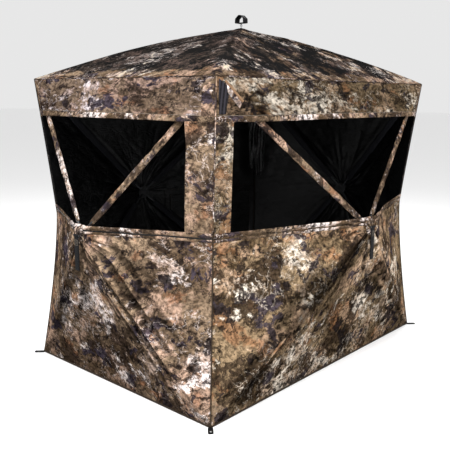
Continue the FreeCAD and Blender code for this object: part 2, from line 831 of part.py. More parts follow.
def rod_piece(panel, name, frame, length):
    """The rod: straight in the walls, a shallow arc that bows upwards in the roof."""
    start = dim("ferrule_end")
    if panel != "roof":
        rod = add(
            "Part::Cylinder",
            f"{name}_rod",
            frame * Placement(Vector(start, 0, 0), Rotation(Vector(0, 1, 0), 90)),
            Radius="Dimensions.rod_radius",
        )
        rod.Height = length - start - dim("tip_long")
        return rod
    radius, half = rod_arc(length)
    chord = length - start - dim("tip_long")
    centre = Vector(start + chord / 2, 0, dim("roof_bow") - radius)
    # the torus lies in the frame's XZ plane, its arc centred on +Z
    turn = Rotation(Vector(1, 0, 0), 90) * Rotation(Vector(0, 0, 1), 90 - math.degrees(half))
    rod = add("Part::Torus", f"{name}_rod", frame * Placement(centre, turn))
    bind(rod, Radius2="Dimensions.rod_radius")
    rod.Radius1 = radius
    rod.Angle3 = 2 * math.degrees(half)
    return rod


def tip_frame(panel, frame, length):
    """The tip cap's place, in line with the pole's chord."""
    start = Vector(length - dim("tip_long"), 0, 0)
    return frame * Placement(start, Rotation(Vector(0, 1, 0), 90))


def build_sleeve(panel, corner):
    """The cloth sleeve round the stretch of a pole that crosses a window."""
    name = f"{panel}_sleeve_{corner}"
    frame, length = pole_frame(panel, corner)
    pin, tip = pole_line(panel, corner)
    band = dim("window_top") - dim("wall_hub_height")
    end = (band - pin.y) / (tip.y - pin.y) * length - dim("sleeve_trim")
    start = dim("ferrule_end") + dim("sleeve_trim")
    place = frame * Placement(Vector(start, 0, 0), Rotation(Vector(0, 1, 0), 90))
    skin = add("Part::Cylinder", f"{name}_skin", place, Radius="Dimensions.sleeve_radius")
    bore = add("Part::Cylinder", f"{name}_bore", place, Radius="Dimensions.sleeve_bore")
    skin.Height = bore.Height = end - start
    tube = doc.addObject("Part::Cut", name)
    tube.Base, tube.Tool = skin, bore
    node(tube, name)


# ---------------------------------------------------------------- stake tabs


def stake_place(sign_x, sign_y):
    """A stake hole's centre on the ground, with +X pointing away from the corner."""
    away = Vector(sign_x, sign_y, 0).normalize()
    corner = Vector(sign_x * dim("foot_half_x"), sign_y * dim("foot_half_y"), 0)
    centre = corner + away * (dim("tab_start") + dim("tab_hole"))
    turn = Rotation(Vector(0, 0, 1), math.degrees(math.atan2(sign_y, sign_x)))
    return Placement(centre, turn)


def grommet_body(name, place):
    bore, neck, flange = (dim(f"grommet_{part}") for part in ("bore", "neck", "radius"))
    thick = dim("grommet_thick")
    lip = (thick - dim("tab_thick")) / 2
    outline = [
        (bore, 0),
        (flange, 0),
        (flange, lip),
        (neck, lip),
        (neck, thick - lip),
        (flange, thick - lip),
        (flange, thick),
        (bore, thick),
    ]
    body = revolved(name, outline)
    body.Placement = place
    return body


def build_stake_tabs():
    tabs, grommets = [], []
    lift = (dim("grommet_thick") - dim("tab_thick")) / 2
    for k, (sign_x, sign_y) in enumerate([(-1, -1), (1, -1), (1, 1), (-1, 1)]):
        place = stake_place(sign_x, sign_y)
        low = Vector(-dim("tab_hole"), -dim("tab_wide") / 2, lift)
        blank = add(
            "Part::Box",
            f"stake_tab_blank_{k}",
            place * Placement(low, Rotation()),
            Length="Dimensions.tab_long",
            Width="Dimensions.tab_wide",
            Height="Dimensions.tab_thick",
        )
        hole = add(
            "Part::Cylinder",
            f"stake_tab_hole_{k}",
            place * Placement(Vector(0, 0, lift), Rotation()),
            Radius="Dimensions.grommet_neck",
            Height="Dimensions.tab_thick",
        )
        tab = doc.addObject("Part::Cut", f"stake_tab_{k}")
        tab.Base, tab.Tool = blank, hole
        tabs.append(tab)
        grommets.append(grommet_body(f"stake_grommet_{k}", place))
    for name, pieces in (("stake_tabs", tabs), ("stake_grommets", grommets)):
        group = doc.addObject("Part::Compound", name)
        group.Links = pieces
        node(group, name)


# ---------------------------------------------------------------- build, check and write


def build():
    build_cloth()
    build_door()
    build_stake_tabs()
    for panel in ("roof", *WALLS):
        build_hub(panel)
        build_cap(panel)
        for corner in CORNERS:
            build_pole(panel, corner)
    for panel in WALLS:
        build_wall_strap(panel)
    build_roof_pull()
    for panel in WINDOWED:
        for corner in ("upper_left", "upper_right"):
            build_sleeve(panel, corner)
    doc.recompute()


def check_and_write():
    for item in doc.Objects:
        bad = [state for state in item.State if state in ("Invalid", "Error")]
        if bad:
            raise RuntimeError(f"{item.Name} is {bad}")
    for item in nodes:
        if item.Shape.isNull() or not item.Shape.isValid():
            raise RuntimeError(f"{item.Label} has no valid shape")
    for item in nodes:
        item.Shape.exportStep(f"parts/{item.Label}.step")
        print(f"{item.Label}: {len(item.Shape.Solids)} solids, {item.Shape.Volume:.0f} mm3")


build()
check_and_write()
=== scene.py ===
import math

import bpy
import numpy as np
from mathutils import Matrix, Vector


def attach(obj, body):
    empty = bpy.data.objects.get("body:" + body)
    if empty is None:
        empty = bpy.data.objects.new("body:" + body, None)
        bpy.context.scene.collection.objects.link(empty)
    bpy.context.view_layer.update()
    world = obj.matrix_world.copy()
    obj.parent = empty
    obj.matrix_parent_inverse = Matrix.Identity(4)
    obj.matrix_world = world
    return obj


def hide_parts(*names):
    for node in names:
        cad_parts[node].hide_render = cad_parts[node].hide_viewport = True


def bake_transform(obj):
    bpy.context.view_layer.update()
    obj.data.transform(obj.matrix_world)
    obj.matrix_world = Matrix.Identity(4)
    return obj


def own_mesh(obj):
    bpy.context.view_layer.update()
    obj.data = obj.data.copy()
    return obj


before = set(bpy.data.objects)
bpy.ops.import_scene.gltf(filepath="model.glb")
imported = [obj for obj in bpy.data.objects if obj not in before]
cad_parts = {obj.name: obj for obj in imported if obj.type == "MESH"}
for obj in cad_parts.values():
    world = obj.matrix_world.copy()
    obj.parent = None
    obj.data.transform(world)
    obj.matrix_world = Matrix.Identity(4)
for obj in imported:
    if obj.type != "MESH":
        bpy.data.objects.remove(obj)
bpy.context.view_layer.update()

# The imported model's own measures, in metres. Origin: centre of the footprint on the ground.
EAVE = (0.905, 0.650)
WAIST = (0.846, 0.580)
FOOT = (0.925, 0.645)
EAVE_Z, WAIST_Z, HUB_Z, PEAK_Z = 1.510, 0.795, 0.800, 1.795
REACH = {"front": 0.865, "rear": 0.865, "left": 1.125, "right": 1.125, "roof": PEAK_Z}
WINDOW_TOP, SILL = 1.325, 0.845
POST = {"front": 0.080, "left": 0.115}
SEAM_GAP = 0.0025
ROOF_BOW = 0.028
HUB_DROP, PIVOT, TIP_INSET = 0.028, 0.030, 0.035
CLOTH = 0.0015
HOLE = 0.020
WALL_TOP = EAVE_Z - 2 * SEAM_GAP
SEAM_STEPS, EDGE_STEPS = 900, 500
# How far the middle of a wall's gores sags: right, upper, left, lower.
GORE_SAG = np.array([0.006, 0.014, 0.006, 0.020])
SLACK_HEIGHT, CRUMPLE_HEIGHT = 0.007, 0.0018
HUB_FOLD, CORNER_FOLD, POLE_FOLD = 0.015, 0.013, 0.010
CAP_SEAT = (0.018, 0.05)
PRINT_STEP = (0.37, 0.61, 0.21)
CORNER_SIGNS = ((-1, -1), (1, -1), (1, 1), (-1, 1))
WALLS = ("front", "right", "rear", "left")
PANELS = ("roof", *WALLS)
CORNERS = ("upper_left", "upper_right", "lower_right", "lower_left")
UP = np.array([0.0, 0.0, 1.0])
OUT = {
    "front": np.array([0.0, -1.0, 0.0]),
    "right": np.array([1.0, 0.0, 0.0]),
    "rear": np.array([0.0, 1.0, 0.0]),
    "left": np.array([-1.0, 0.0, 0.0]),
    "roof": UP,
}

# --- smooth noise


HASH_STEPS, HASH_SEED, HASH_END = (374761393, 668265263, 2147483647), 1274126177, 2246822519
WORD = 0xFFFFFFFF


def lattice(ix, iy, iz, seed):
    """A repeatable value from -1 to 1 for each whole-numbered point."""
    h = sum(i.astype(np.int64) * step for i, step in zip((ix, iy, iz), HASH_STEPS))
    h = (h + seed * HASH_SEED) & WORD
    h = ((h ^ (h >> 13)) * HASH_SEED) & WORD
    h = ((h ^ (h >> 16)) * HASH_END) & WORD
    return (h ^ (h >> 15)) / 2.0**31 - 1.0


def noise(x, y, z=0.0, seed=0):
    """Smooth noise from -1 to 1, with features about one unit across."""
    x, y, z = np.broadcast_arrays(x, y, z)
    fx, fy, fz = np.floor(x), np.floor(y), np.floor(z)
    u, v, w = x - fx, y - fy, z - fz
    u, v, w = (a * a * a * (a * (a * 6 - 15) + 10) for a in (u, v, w))
    total = 0.0
    for dx in (0, 1):
        for dy in (0, 1):
            for dz in (0, 1):
                weight = (u if dx else 1 - u) * (v if dy else 1 - v) * (w if dz else 1 - w)
                total = total + weight * lattice(fx + dx, fy + dy, fz + dz, seed)
    return total


def layered(x, y, z=0.0, seed=0, octaves=3):
    return sum(noise(x * 2**k, y * 2**k, z, seed + k) / 2**k for k in range(octaves))


def smooth(a, b, x):
    t = np.clip((x - a) / (b - a), 0, 1)
    return t * t * (3 - 2 * t)


def stack(*parts):
    """Points from their coordinates, each spread to the common shape."""
    return np.stack(np.broadcast_arrays(*parts), -1)


def circle(n):
    """Directions all the way round, without the last one."""
    return np.linspace(0, 2 * math.pi, n, endpoint=False)


def unit(v):
    """Each vector at length one."""
    return v / np.linalg.norm(v, axis=-1, keepdims=True)


def run_length(points):
    """Distance along a line at each of its points."""
    return np.concatenate([[0], np.cumsum(np.linalg.norm(np.diff(points, axis=0), axis=1))])


def line(a, b, n=160):
    return a + (b - a) * np.linspace(0, 1, n)[:, None]


def polyline(corners, n, closed=False):
    """A line through the corners with n points from each corner to the next."""
    ends = corners[1:] if not closed else [*corners[1:], corners[0]]
    runs = [line(a, b, n)[:-1] for a, b in zip(corners, ends)]
    return np.concatenate(runs if closed else [*runs, corners[-1:]])


# --- the shell's surface


def seam(z):
    """Half extents (x, y) of the corner seams at a height: straight above the waist, curved below."""
    z = np.asarray(z, float)
    high = np.clip((z - WAIST_Z) / (EAVE_Z - WAIST_Z), 0, 1) ** 1.08
    low = np.clip((WAIST_Z - z) / WAIST_Z, 0, 1) ** 1.45
    return [WAIST[k] + (EAVE[k] - WAIST[k]) * high + (FOOT[k] - WAIST[k]) * low for k in (0, 1)]


def in_row(panel, points):
    """Points from a panel's across, up and out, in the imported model's frame."""
    p = np.asarray(points, float)
    return panel.base + p[..., :1] * panel.across + p[..., 1:2] * panel.up + p[..., 2:] * panel.out


class Panel:
    """One wall or the roof: a stretched cloth between its outline and its hub."""

    def __init__(self, name, folds):
        self.name = name
        self.out = OUT[name]
        self.folds = folds
        self.reach = REACH[name]
        if name == "roof":
            self.across, self.up, self.base = OUT["right"], OUT["rear"], np.zeros(3)
            self.outline = self.roof_outline()
        else:
            self.up = UP
            self.across = np.cross(UP, self.out)
            self.base = np.array([0, 0, HUB_Z])
            self.outline = self.wall_outline()
        x, y, _ = self.outline
        self.turn = np.unwrap(np.arctan2(y, x))
        self.start = self.turn[0]
        corner_turns = self.turn[self.corner_at]
        self.corner_turns = np.append(corner_turns, corner_turns[0] + 2 * math.pi)
        self.seed = 11 * (1 + PANELS.index(name))

    def wall_outline(self):
        """Across, up and out along the outline, anticlockwise from the right foot."""
        k = 0 if self.name in ("front", "rear") else 1
        zs = np.linspace(0, WALL_TOP, SEAM_STEPS)
        halves = seam(zs)
        x, out = halves[k] - SEAM_GAP, halves[1 - k]
        y = zs - HUB_Z
        n = EDGE_STEPS
        top_x, foot_x = np.linspace(x[-1], -x[-1], n), np.linspace(-x[0], x[0], n)
        parts = [
            (x, y, out),
            (top_x, np.full(n, y[-1]), np.full(n, out[-1])),
            (-x[::-1], y[::-1], out[::-1]),
            (foot_x, np.full(n, y[0]), np.full(n, out[0])),
        ]
        self.corner_at = [0, SEAM_STEPS - 1, SEAM_STEPS + n, 2 * SEAM_STEPS + n - 1]
        return [np.concatenate([p[i] for p in parts]) for i in range(3)]

    def roof_outline(self):
        n = EDGE_STEPS
        ends = CORNER_SIGNS[1:] + CORNER_SIGNS[:1]
        x, y = [], []
        for (ax, ay), (bx, by) in zip(ends, ends[1:] + ends[:1]):
            s = np.linspace(0, 1, n)
            x.append((ax + (bx - ax) * s) * EAVE[0])
            y.append((ay + (by - ay) * s) * EAVE[1])
        self.corner_at = [0, n, 2 * n, 3 * n]
        x, y = np.concatenate(x), np.concatenate(y)
        return [x, y, np.full(len(x), EAVE_Z)]

    def count_on(self, theta):
        """The same direction, counted on from the panel's first corner."""
        return self.start + np.mod(theta - self.start, 2 * math.pi)

    def edge(self, theta):
        """Across, up and out of the outline in that direction from the hub."""
        return [np.interp(self.count_on(theta), self.turn, a) for a in self.outline]

    def way(self, x, y):
        """0 at the hub and 1 at the outline."""
        ex, ey, _ = self.edge(np.arctan2(y, x))
        return np.clip(np.hypot(x, y) / np.hypot(ex, ey), 0, 1)

    def gauge(self, x, y):
        """1 at the hub and 0 at the outline: how far a point follows the hub."""
        return 1 - self.way(x, y)

    def surface(self, x, y):
        """The cloth's height out of the panel's plane."""
        theta, r, t = np.arctan2(y, x), np.hypot(x, y), self.way(x, y)
        out = self.reach + (self.edge(theta)[2] - self.reach) * t
        turned = self.count_on(theta)
        k = np.clip(np.searchsorted(self.corner_turns, turned, side="right") - 1, 0, 3)
        low, high = self.corner_turns[k], self.corner_turns[k + 1]
        middle = np.sin(math.pi * (turned - low) / (high - low))
        arch = 4 * t * (1 - t)
        if self.name == "roof":
            out = out + ROOF_BOW * arch * (1 - 0.45 * middle)
        else:
            out = out - GORE_SAG[k] * arch * middle**1.5
        f = self.folds
        slack = SLACK_HEIGHT * f["slack"] * layered(x * 2.4, y * 2.4, 0, self.seed + 17)
        slack = slack + CRUMPLE_HEIGHT * f["crumple"] * layered(x * 13, y * 9, 0, self.seed + 23)
        slack = slack * (0.2 + 0.8 * self.freedom(x, y))
        return out + self.creases(x, y) + slack * (1 - t**5) * smooth(*CAP_SEAT, r)

    def freedom(self, x, y):
        """0 on a pole, where the cloth lies on it, and 1 well away from all four."""
        nearest = 9.0
        for k in range(4):
            c, n = math.cos(self.corner_turns[k]), math.sin(self.corner_turns[k])
            aside = np.hypot(-x * n + y * c, np.minimum(x * c + y * n, 0.0))
            nearest = np.minimum(nearest, aside)
        return smooth(0.015, 0.10, nearest)

    def creases(self, x, y):
        """Sharp folds: they fan from the hub and the corners, and run beside the poles."""
        s, f = self.seed, self.folds
        theta, r, t = np.arctan2(y, x), np.hypot(x, y), self.way(x, y)
        c, n = np.cos(theta), np.sin(theta)
        fan = noise(c * f["fan"], n * f["fan"], r * 2.5, s) + 0.3 * noise(c * 13, n * 13, r * 6, s + 1)
        depth = -HUB_FOLD * f["hub"] * (np.abs(fan) - 0.33)
        d = depth * smooth(0.030, 0.085, r) * np.exp(-r / f["spread"])
        for k in range(4):
            angle = self.corner_turns[k]
            cx, cy = self.outline[0][self.corner_at[k]], self.outline[1][self.corner_at[k]]
            dx, dy = x - cx, y - cy
            rc, phi = np.hypot(dx, dy), np.arctan2(dy, dx)
            fold = np.abs(noise(np.cos(phi) * 7, np.sin(phi) * 7, rc * 2, s + 3 + k)) - 0.3
            d = d - CORNER_FOLD * f["corner"] * fold * smooth(0.0, 0.06, rc) * np.exp(-rc / 0.20)
            along = c * r * math.cos(angle) + n * r * math.sin(angle)
            aside = -x * math.sin(angle) + y * math.cos(angle)
            pull = np.abs(noise(aside * 30, along * 2.0, 0, s + 9 + k)) - 0.3
            pull = pull * np.exp(-((aside / 0.13) ** 2)) * smooth(0.0, 0.15, along)
            d = d - POLE_FOLD * f["pole"] * pull
        d = np.maximum(d, -0.0035 - 0.030 * self.freedom(x, y))
        return d * (1 - t**5) * smooth(*CAP_SEAT, r)

    def shadow(self, x, y):
        """Painted shade: how much darker the cloth is coloured where the gore faces the ground, and
        along a crease beside its poles.
        """
        if self.name == "roof":
            return 0.0 * x
        inside = 9.0
        for k, sign in ((3, 1), (0, -1)):
            angle = self.corner_turns[k]
            inside = np.minimum(inside, sign * (y * math.cos(angle) - x * math.sin(angle)))
        rough = 0.012 * layered(x * 22, y * 22, 0, self.seed + 31)
        streak = 0.5 + 0.5 * layered(inside * 38, np.hypot(x, y) * 5, 0, self.seed + 33)
        beside = np.exp(-(((inside - 0.030) / 0.026) ** 2)) * smooth(0.05, 0.14, np.hypot(x, y))
        return smooth(-0.012, 0.020, inside + rough) * (0.22 + 0.40 * streak) + 1.15 * beside * streak

    def place(self, x, y, lift=0.0):
        """Points of the cloth in the model's frame, moved off it by lift along its normal."""
        x, y = np.broadcast_arrays(np.asarray(x, float), np.asarray(y, float))
        p = in_row(self, stack(x, y, self.surface(x, y)))
        if np.any(lift):
            e = 0.004
            sx, sy = (
                (self.surface(x + dx, y + dy) - self.surface(x - dx, y - dy)) / (2 * e)
                for dx, dy in ((e, 0), (0, e))
            )
            n = -sx[..., None] * self.across - sy[..., None] * self.up + self.out
            p = p + unit(n) * np.broadcast_to(lift, x.shape)[..., None]
        return p


FOLD_KINDS = ("fan", "hub", "spread", "corner", "pole", "slack", "crumple")
LOOSE = dict(zip(FOLD_KINDS, (4.5, 1.5, 0.24, 1.0, 1.2, 1.0, 1.0)))
CLOSED = dict(zip(FOLD_KINDS, (5.5, 1.5, 0.34, 1.7, 1.3, 1.2, 1.6)))
TIGHT = dict(zip(FOLD_KINDS, (5, 0.5, 0.10, 0.6, 0.6, 0.9, 0.8)))
PANEL = {
    name: Panel(name, TIGHT if name == "roof" else LOOSE if name in ("front", "left") else CLOSED)
    for name in PANELS
}


def seam_x(panel, y):
    """The panel's half width at a height over its hub."""
    k = 0 if panel.name in ("front", "rear") else 1
    return seam(np.asarray(y) + HUB_Z)[k] - SEAM_GAP


# --- shader building


class Nodes:
    """Short calls to build a material's node tree."""

    def __init__(self, name):
        self.material = bpy.data.materials.new(name)
        self.material.use_nodes = True
        self.tree = self.material.node_tree
        self.tree.nodes.clear()

    def add(self, kind, values=None, **props):
        item = self.tree.nodes.new(kind)
        for key, value in props.items():
            setattr(item, key, value)
        for key, value in (values or {}).items():
            socket = item.inputs[key]
            if isinstance(value, bpy.types.NodeSocket):
                self.tree.links.new(value, socket)
            else:
                socket.default_value = value
        return item

    def math(self, operation, a, b=0.0):
        return self.add("ShaderNodeMath", {0: a, 1: b}, operation=operation).outputs[0]

    def vector(self, operation, a, b):
        return self.add("ShaderNodeVectorMath", {0: a, 1: b}, operation=operation).outputs[0]

    def scaled(self, vector, scale):
        return self.vector("MULTIPLY", vector, scale)

    def noise(self, vector, scale, detail=2.0, rough=0.5, distort=0.0, colour=False):
        values = {"Vector": vector, "Scale": scale, "Detail": detail, "Roughness": rough}
        values["Distortion"] = distort
        item = self.add("ShaderNodeTexNoise", values)
        return item.outputs["Color" if colour else "Fac"]

    def ramp(self, value, low, high, to_low=0.0, to_high=1.0):
        values = {"Value": value, "From Min": low, "From Max": high, "To Min": to_low, "To Max": to_high}
        item = self.add("ShaderNodeMapRange", values, interpolation_type="SMOOTHSTEP")
        return item.outputs[0]

    def mix(self, share, a, b, blend="MIX"):
        item = self.add("ShaderNodeMix", data_type="RGBA", blend_type=blend)
        for socket, value in ((0, share), (6, a), (7, b)):
            if isinstance(value, bpy.types.NodeSocket):
                self.tree.links.new(value, item.inputs[socket])
            else:
                item.inputs[socket].default_value = value
        return item.outputs[2]

    def bump(self, height, strength, distance, normal=None):
        values = {"Height": height, "Strength": strength, "Distance": distance}
        if normal is not None:
            values["Normal"] = normal
        return self.add("ShaderNodeBump", values).outputs[0]

    def attribute(self, name, socket="Vector"):
        return self.add("ShaderNodeAttribute", attribute_name=name).outputs[socket]

    def grey(self, value):
        return self.add("ShaderNodeCombineColor", {0: value, 1: value, 2: value}).outputs[0]

    def finish(self, **inputs):
        values = {key.replace("_", " "): value for key, value in inputs.items()}
        shader = self.add("ShaderNodeBsdfPrincipled", values)
        output = self.add("ShaderNodeOutputMaterial")
        self.tree.links.new(shader.outputs[0], output.inputs[0])
        return self.material


WEAVE_PITCH = 0.0016


def rgb(r, g, b):
    """Linear colour from 0-255 display values."""
    shown = [c / 255 for c in (r, g, b)]
    return (*(((c + 0.055) / 1.055) ** 2.4 if c > 10 / 255 else c / 12.92 for c in shown), 1.0)


def weave(n, p):
    """Plain weave height from coordinates in metres."""
    parts = n.add("ShaderNodeSeparateXYZ", {0: p})
    turns = 2 * math.pi / WEAVE_PITCH
    warp = n.math("SINE", n.math("MULTIPLY", parts.outputs[0], turns))
    weft = n.math("SINE", n.math("MULTIPLY", parts.outputs[1], turns))
    return n.math("MULTIPLY", warp, weft)


def camouflage(name, shade, streak=0.0, crown=0.0, blue=1.13):
    """Printed polyester: sponge-edged cream and khaki patches, charcoal blots and twigs, with painted
    shade in creases and painted highlight on ridges.

    Shade scales every tone and blue tints them; the front and roof copies use them as painted light and
    shade. Streak adds dark upright lines. Crown paints shade on the roof: it darkens, greys and caps the
    print away from the attribute "rim".
    """
    n = Nodes(name)
    p = n.attribute("print")
    shift = n.vector("SUBTRACT", n.noise(p, 9, 3, colour=True), (0.5, 0.5, 0.5))
    w = n.vector("ADD", p, n.scaled(shift, (0.06, 0.06, 0.0)))

    def tone(r, g, b):
        return rgb(r * shade, g * 1.03 * shade, b * blue * shade)

    def field(scale, seed, detail=8.0, rough=0.66, stretch=(1, 1, 1)):
        moved = n.vector("ADD", n.scaled(w, stretch), (seed * 3.1, seed * 1.7, seed * 0.37))
        return n.noise(moved, scale, detail, rough)

    def lay(mask, strength, colour, top):
        return n.mix(n.math("MULTIPLY", mask, strength), colour, top)

    def twigs(scale, seed, width, zone_scale, low):
        level = n.math("ABSOLUTE", n.math("SUBTRACT", field(scale, seed, 5.0, 0.62), 0.5))
        zone = n.ramp(field(zone_scale, seed + 1, 4), low, low + 0.05)
        return n.math("MULTIPLY", n.ramp(level, width * 0.35, width, 1.0, 0.0), zone)

    colour = n.mix(n.ramp(field(3.0, 1), 0.40, 0.60), tone(136, 112, 84), tone(86, 68, 48))
    colour = lay(n.ramp(field(4.6, 2), 0.50, 0.58), 0.85, colour, tone(164, 132, 104))
    colour = lay(n.ramp(field(6.4, 3), 0.56, 0.62), 0.55, colour, tone(140, 94, 62))
    colour = lay(n.ramp(field(4.2, 4, rough=0.72), 0.515, 0.55), 0.85, colour, tone(46, 35, 26))
    sponge = n.ramp(field(3.1, 6, 10, 0.76), 0.530, 0.560)
    sponge = n.math("MULTIPLY", sponge, n.ramp(field(26, 21, 6, 0.7), 0.40, 0.50))
    cream = n.mix(n.ramp(field(11, 7), 0.44, 0.58), tone(222, 204, 182), tone(180, 152, 126))
    colour = lay(sponge, 0.95, colour, cream)
    charcoal = n.mix(n.ramp(field(5, 9), 0.45, 0.55), tone(36, 30, 29), tone(60, 52, 56))
    colour = lay(n.ramp(field(7.5, 8, 7, 0.64), 0.562, 0.580), 0.92, colour, charcoal)
    colour = lay(n.ramp(field(17, 16, 6, 0.62), 0.585, 0.610), 0.85, colour, tone(34, 27, 24))
    colour = lay(twigs(15, 10, 0.026, 5, 0.48), 0.85, colour, tone(34, 26, 21))
    colour = lay(twigs(21, 12, 0.016, 4, 0.52), 0.6, colour, tone(214, 194, 172))
    grain = n.ramp(field(58, 5, 5, 0.72), 0.36, 0.64, 0.42, 1.50)
    colour = n.mix(1.0, colour, n.grey(grain), "MULTIPLY")
    colour = lay(n.ramp(field(90, 14, 3, 0.6), 0.60, 0.66), 0.7, colour, tone(32, 25, 22))
    if streak:
        lines = n.ramp(field(1.0, 15, 3, 0.6, (70, 4, 1)), 0.5, 0.62)
        colour = lay(lines, streak, colour, tone(48, 36, 28))
    # Painted shade on the roof away from the attribute "rim"; the darken step caps the lightest tones
    # everywhere on it.
    if crown:
        ragged = n.ramp(field(9, 20, 7, 0.72), 0.3, 0.7, -0.45, 0.45)
        rim = n.math("ADD", n.attribute("rim", "Fac"), ragged)
        deep = n.mix(1.0, colour, colour, "MULTIPLY")
        deep = n.mix(1.0, deep, (crown, crown, crown, 1.0), "MULTIPLY")
        faded = n.add("ShaderNodeRGBToBW", {0: deep}).outputs[0]
        deep = n.mix(0.55, deep, n.grey(n.math("ADD", faded, 0.011)))
        colour = n.mix(n.ramp(rim, 0.35, 0.60), deep, colour)
        colour = n.mix(1.0, colour, rgb(168, 154, 134), "DARKEN")
    # Painted shade in creases and painted highlight on ridges, from the attribute "fold".
    painted_fold_shade = n.ramp(n.attribute("fold", "Fac"), -1.15, 0.6, 0.20, 1.14)
    colour = n.mix(1.0, colour, n.grey(painted_fold_shade), "MULTIPLY")
    crumple = n.bump(n.noise(p, 34, 4, 0.6), 0.4, 0.005)
    normal = n.bump(weave(n, p), 0.25, 0.0002, crumple)
    return n.finish(Base_Color=colour, Roughness=0.62, Normal=normal, Specular_IOR_Level=0.0)


def lining(name, low=0.28, high=0.46, level=0.25):
    """Black coated lining: dull sheen broken by fine creases."""
    n = Nodes(name)
    p = n.attribute("print")
    crease = n.noise(n.scaled(p, (1.0, 1.6, 1.0)), 14, 5, 0.62, 0.8)
    fine = n.noise(p, 75, 3, 0.6)
    normal = n.bump(fine, 0.35, 0.0015, n.bump(crease, 0.8, 0.014))
    colour = n.mix(n.noise(p, 4, 3), rgb(4, 4, 4), rgb(9, 9, 10))
    rough = n.ramp(n.noise(p, 9, 3), 0.3, 0.7, low, high)
    return n.finish(Base_Color=colour, Roughness=rough, Normal=normal, Specular_IOR_Level=level)


def webbing(name, low, high, pitch=0.0022, rough=0.6, slant=0.7):
    """Woven tape: slanted ribs across, from its own along and across coordinates."""
    n = Nodes(name)
    p = n.attribute("print")
    parts = n.add("ShaderNodeSeparateXYZ", {0: p})
    side = n.math("ABSOLUTE", parts.outputs[1])
    slope = n.math("ADD", parts.outputs[0], n.math("MULTIPLY", side, slant))
    rib = n.math("SINE", n.math("MULTIPLY", slope, 2 * math.pi / pitch))
    worn = n.noise(p, 120, 4, 0.6)
    colour = n.mix(n.ramp(rib, -1, 1), low, high)
    colour = n.mix(n.ramp(worn, 0.4, 0.7, 0, 0.5), colour, high)
    normal = n.bump(rib, 0.6, 0.0005, n.bump(worn, 0.3, 0.0006))
    return n.finish(Base_Color=colour, Roughness=rough, Normal=normal, Specular_IOR_Level=0.06)


def moulded(name, low, high, rough=0.45, grain=900, metallic=0.0):
    """Moulded or rolled hard finish with fine grain and rubbed tones."""
    n = Nodes(name)
    p = n.add("ShaderNodeTexCoord").outputs["Object"]
    colour = n.mix(n.ramp(n.noise(p, 60, 4, 0.6), 0.4, 0.65), low, high)
    normal = n.bump(n.noise(p, grain, 3, 0.6), 0.25, 0.0003)
    roughness = n.ramp(n.noise(p, 45, 4), 0.3, 0.7, rough - 0.08, rough + 0.12)
    return n.finish(Base_Color=colour, Roughness=roughness, Normal=normal, Metallic=metallic)


# The front copies differ in brightness and are warmer than the left side's, and the roof copy is darker:
# painted light and shade for how the lamps fall on each side.
CAMO = camouflage("camo_cloth", 0.965)
CAMO_FRONT = camouflage("camo_front_cloth", 0.985, blue=1.07)
CAMO_POST = camouflage("camo_post_cloth", 0.98, 0.35)
CAMO_POST_FRONT = camouflage("camo_front_post_cloth", 0.82, 0.35, blue=1.06)
CAMO_ROOF = camouflage("camo_roof_cloth", 0.84, crown=0.98)
CAMO_BAND = camouflage("camo_band_cloth", 0.82, blue=1.17)
CAMO_BAND_FRONT = camouflage("camo_front_band_cloth", 0.70, blue=1.06)
LINING = lining("black_lining")
GLOSSY = lining("glossy_lining", 0.16, 0.26, 0.9)
SLATE = webbing("slate_patch_cloth", rgb(14, 13, 14), rgb(44, 42, 47), 0.016, 0.55, 0.0)
TAN_TAPE = webbing("tan_binding", rgb(104, 80, 60), rgb(132, 104, 80), 0.003, 0.7)
BLACK_TAPE = webbing("black_webbing", rgb(9, 9, 10), rgb(27, 27, 29))
BROWN_TAPE = webbing("brown_binding", rgb(32, 26, 20), rgb(60, 49, 39), 0.0030)
HEM = camouflage("camo_hem_cloth", 0.94)
THREAD = moulded("thread", rgb(84, 76, 66), rgb(120, 108, 94), 0.7)
SLEEVE_BLACK = webbing("black_sleeve_cloth", rgb(17, 17, 19), rgb(34, 34, 38), 0.004, 0.45)
NYLON = moulded("moulded_nylon", rgb(20, 20, 21), rgb(38, 38, 40))
STEEL = moulded("steel", rgb(120, 120, 124), rgb(160, 160, 165), 0.32, 600, 1.0)
BLACK_METAL = moulded("blackened_metal", rgb(26, 26, 28), rgb(70, 68, 66), 0.4, 700, 0.8)
ROD = moulded("fibreglass_rod", rgb(18, 19, 21), rgb(46, 48, 52), 0.36, 300)

# The record's material slot behind each finish that new pieces wear.
SLOT_FINISHES = {
    "camo_cloth": (
        CAMO, CAMO_FRONT, CAMO_POST, CAMO_POST_FRONT, CAMO_ROOF, CAMO_BAND, CAMO_BAND_FRONT, HEM,
        LINING, GLOSSY, THREAD, SLEEVE_BLACK,
    ),
    "corner_trim": (SLATE, TAN_TAPE, BROWN_TAPE),
    "black_webbing": (BLACK_TAPE,),
    "moulded_nylon": (NYLON,),
    "steel_pins": (STEEL,),
}
SLOTS = {finish.name: slot for slot, finishes in SLOT_FINISHES.items() for finish in finishes}

# --- mesh building


def make(name, points, faces, materials, coords=None):
    mesh = bpy.data.meshes.new(name)
    mesh.from_pydata(np.asarray(points, float).reshape(-1, 3).tolist(), [], [list(f) for f in faces])
    obj = bpy.data.objects.new(name, mesh)
    bpy.context.scene.collection.objects.link(obj)
    for material in materials:
        mesh.materials.append(material)
    if coords is not None:
        attribute = mesh.attributes.new("print", "FLOAT_VECTOR", "POINT")
        attribute.data.foreach_set("vector", np.asarray(coords, np.float32).ravel())
    mesh.polygons.foreach_set("use_smooth", [True] * len(mesh.polygons))
    mesh.update()
    return obj


def mark(obj, name, values):
    """A number at each vertex, for the materials."""
    attribute = obj.data.attributes.new(name, "FLOAT", "POINT")
    attribute.data.foreach_set("value", np.asarray(values, np.float32).ravel())


def print_coords(panel, x, y, depth):
    """Where a panel's cloth lies on the printed roll: each panel is cut from its own place."""
    return stack(x + panel.seed * PRINT_STEP[0], y + panel.seed * PRINT_STEP[1], depth)


